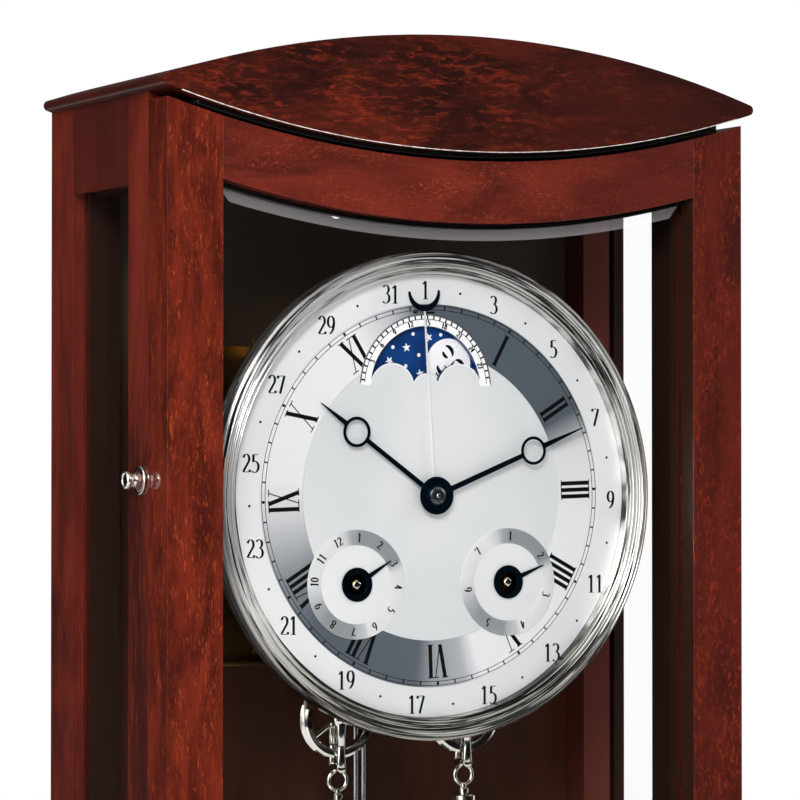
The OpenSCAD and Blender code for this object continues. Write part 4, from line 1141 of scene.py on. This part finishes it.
bm = bmesh.new()
for radius in ARCH_TRACK:
    printed_ring(bm, radius, 0.36, MOON_X, MOON_Z, 160, ARCH_FROM + 2, ARCH_TO - 2)
printed_ring(bm, ARCH_OUT - 0.15, 0.34, MOON_X, MOON_Z, 160, ARCH_FROM, ARCH_TO)
for day in range(30):
    place = outward(ARCH_TRACK[0], arch_angle(day), MOON_X, MOON_Z)
    bar(bm, (0, 0), (0, ARCH_TRACK[1] - ARCH_TRACK[0]), 0.9, place)
for day in range(3, 30, 3):
    place = outward((MOON_OPEN_R + ARCH_TRACK[0]) / 2 + 0.1, arch_angle(day), MOON_X, MOON_Z)
    number(bm, str(day), 3.0, place, 0.8, 0.34, step=0.58)
# Two ends of the hidden numeral at the top still show above the scale.
for x, half in ((-11.0, 1.3), (-1.3, 2.5)):
    bar(bm, (x - half, 101.2), (x + half, 101.2), 1.1, lambda u, v: Vector((u, 0.1, v)))
printed("moon_scale", bm, ARCH_D - 0.01, ink)
print("arch from radius", round(ARCH_IN, 2), "to", ARCH_OUT)

# %% The opening's edges
HUMP_R = 13.5
HUMP_X = MOON_OPEN_R + 0.1 - HUMP_R
# Painted highlight: thin white arcs along the humps and the hub of the opening.
bm = bmesh.new()
for side in (-1, 1):
    printed_ring(bm, HUMP_R + 0.05, 0.55, MOON_X + side * HUMP_X, MOON_Z, 96, -80, 80)
hub_r = HUMP_X + 0.5 - HUMP_R
printed_ring(bm, hub_r + 0.05, 0.5, MOON_X, MOON_Z, 96, -72, 72)
printed("opening_edge_highlights", bm, DIAL_D, white)

# The walls of the opening are painted blue like the disc, so the dial looks as thin as paper.
bm = bmesh.new()
for side in (-1, 1):
    printed_ring(bm, HUMP_R + 0.12, 0.2, MOON_X + side * HUMP_X, MOON_Z, 96, -90, 90)
printed_ring(bm, hub_r + 0.12, 0.2, MOON_X, MOON_Z, 96, -80, 80)
printed_ring(bm, MOON_OPEN_R - 0.02, 0.2, MOON_X, MOON_Z, 160, -90, 90)
LINING = MOON_DISC_D - 0.5 - HOUR_D
printed("opening_lining", bm, HOUR_D + 0.06 + LINING / 2, blue, thickness=LINING - 0.12)
print("lining is", round(LINING, 2), "deep")

# %% [markdown]
# The hands are sawn from thin steel, filed and heated until they turn blue, almost black. Round the
# boss of the minute hand sits a domed nut. The date hand is silver, so that it does not compete with
# the others, and ends in a blued crescent that cups the day.

# %% The hands
for node in ("minute_hand", "hour_hand", "month_hand", "weekday_hand"):
    dressed(node, blued, "blued_steel", 0.12, 2)

minute_front = measured("minute_hand")[0].y
dark_nut = metal("hand_nut", shade(88, 88, 92), 0.28, POLISHED_MARKS)
NUT = [(0, -0.9), (2.7, -0.75), (4.4, -0.3), (5.3, 0.3), (5.6, 1.0), (5.6, 1.3), (0, 1.3)]
ARBOR_END = [(0, -1.5), (0.9, -1.4), (1.3, -1.0), (1.3, 0), (0, 0)]
for name, profile, steps, finish in (("hand_nut", NUT, 48, dark_nut),
                                     ("minute_arbor_end", ARBOR_END, 32, steel)):
    bm = spun(bmesh.new(), [(radius, minute_front + step) for radius, step in profile], steps=steps)
    put(name, bm, "minute", finish)

# A winding square with a domed end stands in the hole of each small dial.
for side, body in ((-1, "drum_left"), (1, "drum_right")):
    bm = bmesh.new()
    square = bmesh.ops.create_cube(bm, size=4.2)["verts"]
    bmesh.ops.rotate(bm, verts=square, cent=(0, 0, 0), matrix=Matrix.Rotation(math.radians(38), 3, "Y"))
    bmesh.ops.translate(bm, verts=square, vec=(side * SMALL_X, DIAL_D + 1.2, SMALL_Z))
    softened(bm, bm.edges[:], 0.7, 3)
    put(body + "_square", bm, body, nickel)
print("minute hand's front at depth", round(minute_front, 2))

# %% [markdown]
# The blade of the date hand keeps the CAD model's shape. The crescent at its end is laid over it as
# a piece of its own, because it is blued. Two arcs bound it: the outer one is the lower part of a
# circle, and the inner one starts higher, so that the crescent is deepest in the middle.

# %% The date hand
DATE_TURN = -3.4
DATE_D = measured("date_hand")[0].y
CRESCENT_LOW = 102.0
CRESCENT_OUT = 9.95
CRESCENT_IN = 8.5
CRESCENT_DEEP = 3.4
CRESCENT_TOP = 11.3
silver = silvered("matte_silver", shade(234, 234, 235), shade(214, 215, 218))
dressed("date_hand", silver, "silver_hand", 0.08, 1)

bm = bmesh.new()
place = outward(0, DATE_TURN)
sides = []
for radius, low in ((CRESCENT_OUT, 0), (CRESCENT_IN, CRESCENT_DEEP)):
    above = (CRESCENT_TOP - low - radius) / radius
    end = math.degrees(math.asin(above))
    arc = curve(0, CRESCENT_LOW + low + radius, radius, radius, -180 - end, end, 32)
    row = [bm.verts.new(place(*point)) for point in arc]
    sides.append([bm.edges.new(pair) for pair in zip(row, row[1:])])
bmesh.ops.bridge_loops(bm, edges=sides[0] + sides[1])
printed("date_crescent", bm, DATE_D - 0.02, blued, "date", 0.12)
print("date hand at depth", round(DATE_D, 2))

# %% [markdown]
# The pendulum's rods, its bob and its nut take the CAD model's shapes with softened edges. A cable is
# too fine for modelled strands, so its finish carries them. It runs from the drum down to the
# weight's pulley and up again to a pillar. Its upper ends stay where they are while the loop below
# goes down with the weight, so the two straight runs grow. Here each cable is one fixed piece that no
# body carries.

# %% Pendulum and cables
dressed("pendulum_rods", steel, "polished_steel", 0.3, 2)
dressed("pendulum_bob", nickel, "nickel", 0.3, 3)
dressed("rating_nut", nickel, "nickel", 0.3, 2)


def twisted(name):
    """A fine cable: plated strands that wind round it, drawn as a slanting pattern whose light and shade are
    painted into its colour.
    """
    finish = Finish(name)
    strands = finish.node("TexWave", {"bands_direction": "DIAGONAL"},
                          {"Vector": finish.place, "Scale": 620, "Distortion": 0.4}, out=1)
    # Painted light and shade: the strands are pale, with darker grooves between them.
    colour = finish.mix(strands, shade(176, 171, 160), shade(240, 236, 226))
    return finish.surface({"Base Color": colour, "Metallic": 0.35, "Roughness": 0.3,
                           "Normal": finish.bump(strands, 0.0002, 0.6)})


cable = twisted("cable_strands")
for side in ("left", "right"):
    node = "cable_" + side
    bm = copied(node)
    bm.transform(TO_CLOCK.inverted())
    hung = put(node + "_hung", bm, None, cable, [node])
    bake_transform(hung)

# %% [markdown]
# Each weight hangs from a pulley in a stirrup. The pulley is a turned rim with a groove, a hub and
# five round spokes. The stirrup has two flattened arms with domed bosses, joined below by a bridge
# from which the ring hangs; a hook on the weight passes through the ring. The weight is a tube with
# turned caps, so it is spun about its own upright axis.

# %% Pulleys and weights
PULLEY_RIM = [(16.8, -2.2), (17.4, -3.1), (20.3, -3.5), (21.7, -2.8), (19.3, -1.0), (19.3, 1.0),
              (21.7, 2.8), (20.3, 3.5), (17.4, 3.1), (16.8, 2.2)]
PULLEY_HUB = [(2.6, -3.9), (5.0, -3.9), (5.6, -3.3), (5.6, 3.3), (5.0, 3.9), (2.6, 3.9)]
SPOKES = 5
SPOKE_R = 1.5
ARM_D = 5.0
ARM_LEN = 27
BOSS = [(0, -1.7), (2.4, -1.5), (4.2, -0.8), (5.0, 0.2), (5.0, 0.7), (0, 0.7)]
RING_R = 5.5
WIRE_R = 1.25
RING_DROP = 34.3
WEIGHT_DROP = 51.3
WEIGHT_PROFILE = [(0, 6), (6.4, 6), (7, 5.4), (7, 0.4), (24.6, 0), (25.8, -0.8), (25.8, -2.4), (25, -3),
                  (25, -187), (25.8, -187.6), (25.8, -189.3), (24.6, -190), (5.4, -190), (5, -193.3),
                  (4.2, -194), (0, -194)]


print("weight is", -WEIGHT_PROFILE[-1][1], "long")


# %% Rods and upright turning
def rod(bm, start, end, radius, flat=1.0, sides=20, to=None):
    """A round bar that may taper; flat squeezes it front to back."""
    start, end = Vector(start), Vector(end)
    along = end - start
    made = bmesh.ops.create_cone(bm, cap_ends=True, segments=sides, radius1=radius,
                                 radius2=radius if to is None else to, depth=along.length)["verts"]
    bmesh.ops.scale(bm, vec=(1, flat, 1), verts=made)
    turn = along.to_track_quat("Z", "Y").to_matrix()
    bmesh.ops.rotate(bm, verts=made, cent=(0, 0, 0), matrix=turn)
    bmesh.ops.translate(bm, verts=made, vec=(start + end) / 2)


def spun_up(bm, profile, x, depth, z, steps=64):
    """Spin a profile of (radius, height) about an upright axis."""
    points = [bm.verts.new((x + radius, depth, z + height)) for radius, height in profile]
    edges = [bm.edges.new(pair) for pair in zip(points, points[1:])]
    bmesh.ops.spin(bm, geom=points + edges, cent=(x, depth, 0), axis=(0, 0, 1), angle=math.tau,
                   steps=steps, use_merge=True, use_duplicate=False)
    return closed(bm)


def join(parts):
    """One drawing from several that were closed on their own."""
    whole = bmesh.new()
    for part in parts:
        mesh = bpy.data.meshes.new("part")
        part.to_mesh(mesh)
        part.free()
        whole.from_mesh(mesh)
        bpy.data.meshes.remove(mesh)
    return whole


print("spokes", SPOKES, "of radius", SPOKE_R)

# %% Pulleys, stirrups and weights
for side in ("left", "right"):
    lo, hi = measured("pulley_" + side)
    x, depth, z = (lo + hi) / 2
    rim = spun(bmesh.new(), [(radius, depth + step) for radius, step in PULLEY_RIM], x, z, loop=True)
    hub = spun(bmesh.new(), [(radius, depth + step) for radius, step in PULLEY_HUB], x, z, 48, loop=True)
    spokes = bmesh.new()
    for index in range(SPOKES):
        inner = on_circle(5, 20 + index * 360 / SPOKES, x, z)
        outer = on_circle(17.2, 20 + index * 360 / SPOKES, x, z)
        rod(spokes, (inner[0], depth, inner[1]), (outer[0], depth, outer[1]), SPOKE_R)
    pulley = "pulley_" + side
    put(pulley + "_turned", join([rim, hub, spokes]), pulley, nickel, [pulley])

    arms = bmesh.new()
    for arm_depth in (depth - ARM_D, depth + ARM_D):
        waist = (x, arm_depth, z - ARM_LEN * 0.55)
        rod(arms, (x, arm_depth, z), waist, 3.3, flat=0.5, to=2.1)
        rod(arms, waist, (x, arm_depth, z - ARM_LEN), 2.1, flat=0.5, to=2.9)
    rod(arms, (x, depth - ARM_D - 1, z - ARM_LEN), (x, depth + ARM_D + 1, z - ARM_LEN), 2.9)
    rod(arms, (x, depth - ARM_D, z), (x, depth + ARM_D, z), 2.4)
    softened(arms, [edge for edge in arms.edges if edge.calc_face_angle(0) > 1], 0.6, 3)
    bosses = [spun(bmesh.new(), [(radius, depth + face * (ARM_D - step)) for radius, step in BOSS], x, z, 40)
              for face in (-1, 1)]
    turns = [step * math.tau / 16 for step in range(16)]
    wire = [(RING_R + WIRE_R * math.cos(turn), depth + WIRE_R * math.sin(turn)) for turn in turns]
    ring = spun(bmesh.new(), wire, x, z - RING_DROP, 48, loop=True)
    hook = bmesh.new()
    rod(hook, (x, depth, z - RING_DROP - RING_R + 0.4), (x, depth, z - WEIGHT_DROP + 5), 1.7)
    collar = spun_up(bmesh.new(), [(0, 2.4), (2.2, 2.2), (3.1, 1.2), (3.1, -1.2), (2.2, -2.2), (0, -2.4)],
                     x, depth, z - WEIGHT_DROP + 8, 32)
    body = spun_up(bmesh.new(), WEIGHT_PROFILE, x, depth, z - WEIGHT_DROP, 96)
    weight = "weight_" + side
    whole = join([arms, *bosses, ring, hook, collar, body])
    put(weight + "_turned", whole, weight, nickel, [weight])
print("pulleys and weights", 4)

# %% [markdown]
# The knob stands on the left side of the door. It is turned in one piece: a dished rose with a thin
# bright rim, a narrow waist, and a button with a ring round its face. The hollow of the rose mirrors
# only dark wood, so a painted reflection of that wood darkens its colour there. Its spindle carries
# the finger that locks the door.

# %% The knob
KNOB_ROSE = 7.6
KNOB_LEN = 9.4
SPINDLE_R = 2.2
FINGER_T = 2.4
FINGER_W = 4
FINGER_HUB_R = 3.2
KNOB_PROFILE = [(0, 0), (7.3, 0), (KNOB_ROSE, 0.3), (KNOB_ROSE, 0.9), (7.3, 1.2), (6.9, 1.1), (6.3, 1.2),
                (5.4, 1.7), (4.6, 2.5), (4.0, 3.5), (3.6, 4.4), (3.5, 5.2), (3.8, 5.8), (4.4, 6.3),
                (4.7, 6.9), (4.7, 8.6), (4.4, 9.1), (3.9, KNOB_LEN), (3.4, 9.2), (3.1, 8.8), (2.2, 8.9),
                (0, 9.1)]
lo, hi = measured("latch_knob")
knob_middle = Vector((lo.x + KNOB_LEN, hi.y - KNOB_ROSE, hi.z - KNOB_ROSE))
turned = spun(bmesh.new(), [(radius, -out) for radius, out in KNOB_PROFILE], steps=64)
bmesh.ops.rotate(turned, verts=turned.verts, cent=(0, 0, 0), matrix=Matrix.Rotation(-math.pi / 2, 3, "Z"))
bmesh.ops.translate(turned, verts=turned.verts, vec=knob_middle)
lock = bmesh.new()
spindle_end = Vector((hi.x, knob_middle.y, knob_middle.z))
rod(lock, knob_middle, spindle_end, SPINDLE_R)
rod(lock, spindle_end - Vector((FINGER_T, 0, 0)), spindle_end, FINGER_HUB_R)
finger = bmesh.ops.create_cube(lock, size=1)["verts"]
bmesh.ops.scale(lock, vec=(FINGER_T, knob_middle.y - lo.y, FINGER_W), verts=finger)
bmesh.ops.translate(lock, vec=(hi.x - FINGER_T / 2, (knob_middle.y + lo.y) / 2, knob_middle.z), verts=finger)

print("knob centre", [round(value, 1) for value in knob_middle])

# %% The knob's finish
knob_finish = Finish("knob_nickel")
knob_marks = knob_finish.noise(POLISHED_MARKS)
across_knob = knob_finish.axes()[0]
KNOB_FACE = knob_middle.x * MM
# Painted reflection: the hollow of the rose is darker, as if mirroring dark wood; its rim stays bright.
hollow = across_knob.between(KNOB_FACE - 4.4 * MM, KNOB_FACE - 3.4 * MM)
rim_part = across_knob.between(KNOB_FACE - 1.35 * MM, KNOB_FACE - 1.25 * MM)
knob_tone = knob_finish.mix(hollow * (1 - rim_part), shade(236, 233, 228), shade(104, 78, 70))
knob_nickel = knob_finish.surface({"Base Color": knob_tone, "Metallic": 1.0,
                                   "Roughness": 0.08 + 0.04 * (knob_marks - 0.5)})
put("latch_knob_turned", join([turned, lock]), "latch", knob_nickel, ["latch_knob"])
print("knob's face at", round(KNOB_FACE, 4))

# %% [markdown]
# Clear glass is mostly its reflections. It lets light straight through, so shadows pass, and mirrors
# a little of the studio, more at a glancing angle. The door glass has a bevel cut along its top and
# bottom edges; the cut is a strip of its own, tipped outwards, which glows faintly and is almost
# clear: a painted reflection that turns it grey against the dark and leaves it white against white.

# %% Glass
def clear_glass(name, tint):
    finish = Finish(name)
    wave = finish.noise(6, detail=1)
    through = finish.node("BsdfTransparent", inputs={"Color": tint})
    mirror = finish.node("BsdfGlossy", inputs={"Roughness": 0.02, "Color": (1, 1, 1, 1)})
    glancing = finish.node("LayerWeight", inputs={"Blend": 0.5}, out=1)
    share = 0.5 * glancing ** 6 + 0.01 * wave
    both = finish.node("MixShader", inputs={0: share, 1: through, 2: mirror})
    finish.node("OutputMaterial", inputs={"Surface": both})
    return finish.material


pane = clear_glass("clear_pane", (0.998, 0.999, 0.998, 1))
carried("side_glasses", pane)
carried("door_glass", pane)
print("clear panes", 2)

# %% The bevels of the door glass
# The cut glows faintly and is almost clear: a painted reflection that is the same from every side.
cut_finish = Finish("glass_bevel_painted_reflection")
cut_wave = cut_finish.noise(5, detail=1)
cut = cut_finish.surface({"Base Color": shade(250, 246, 248), "Roughness": 0.3,
                          "Emission Color": shade(255, 250, 252), "Emission Strength": 0.45,
                          "Alpha": 0.06 + 0.03 * (cut_wave - 0.5)})

BEVEL_W = 8.8
BEVEL_STEPS = 48
glass_lo = measured("door_glass")[0]
OPEN_HALF = -measured("door_stile_left")[1].x
OPEN_SAG = 19
OPEN_R = arc_through(OPEN_HALF, OPEN_SAG)
OPEN_MID = measured("door_rail_top")[0].z
for label, flip in (("top", 1), ("bottom", -1)):
    bm = bmesh.new()
    reach = math.degrees(math.asin((OPEN_HALF - 0.2) / OPEN_R))
    inner_reach = math.degrees(math.asin((OPEN_HALF - BEVEL_W) / (OPEN_R + BEVEL_W)))
    rails = []
    for radius, half_angle, depth in ((OPEN_R + 0.1, reach, glass_lo.y - 0.05),
                                      (OPEN_R + BEVEL_W, inner_reach, glass_lo.y - 1.5)):
        row = []
        for step in range(BEVEL_STEPS + 1):
            turn = math.radians(180 - half_angle + 2 * half_angle * step / BEVEL_STEPS)
            z = OPEN_MID + OPEN_R + radius * math.cos(turn)
            z = z if flip > 0 else 2 * CASE_MID - z
            row.append(bm.verts.new((radius * math.sin(turn), depth, z)))
        rails.append([bm.edges.new(pair) for pair in zip(row, row[1:])])
    bmesh.ops.bridge_loops(bm, edges=rails[0] + rails[1])
    bmesh.ops.recalc_face_normals(bm, faces=bm.faces)
    bmesh.ops.solidify(bm, geom=bm.faces[:], thickness=0.05)
    put("glass_bevel_" + label, bm, "door", cut)
print("bevelled glass", round(OPEN_R, 1))
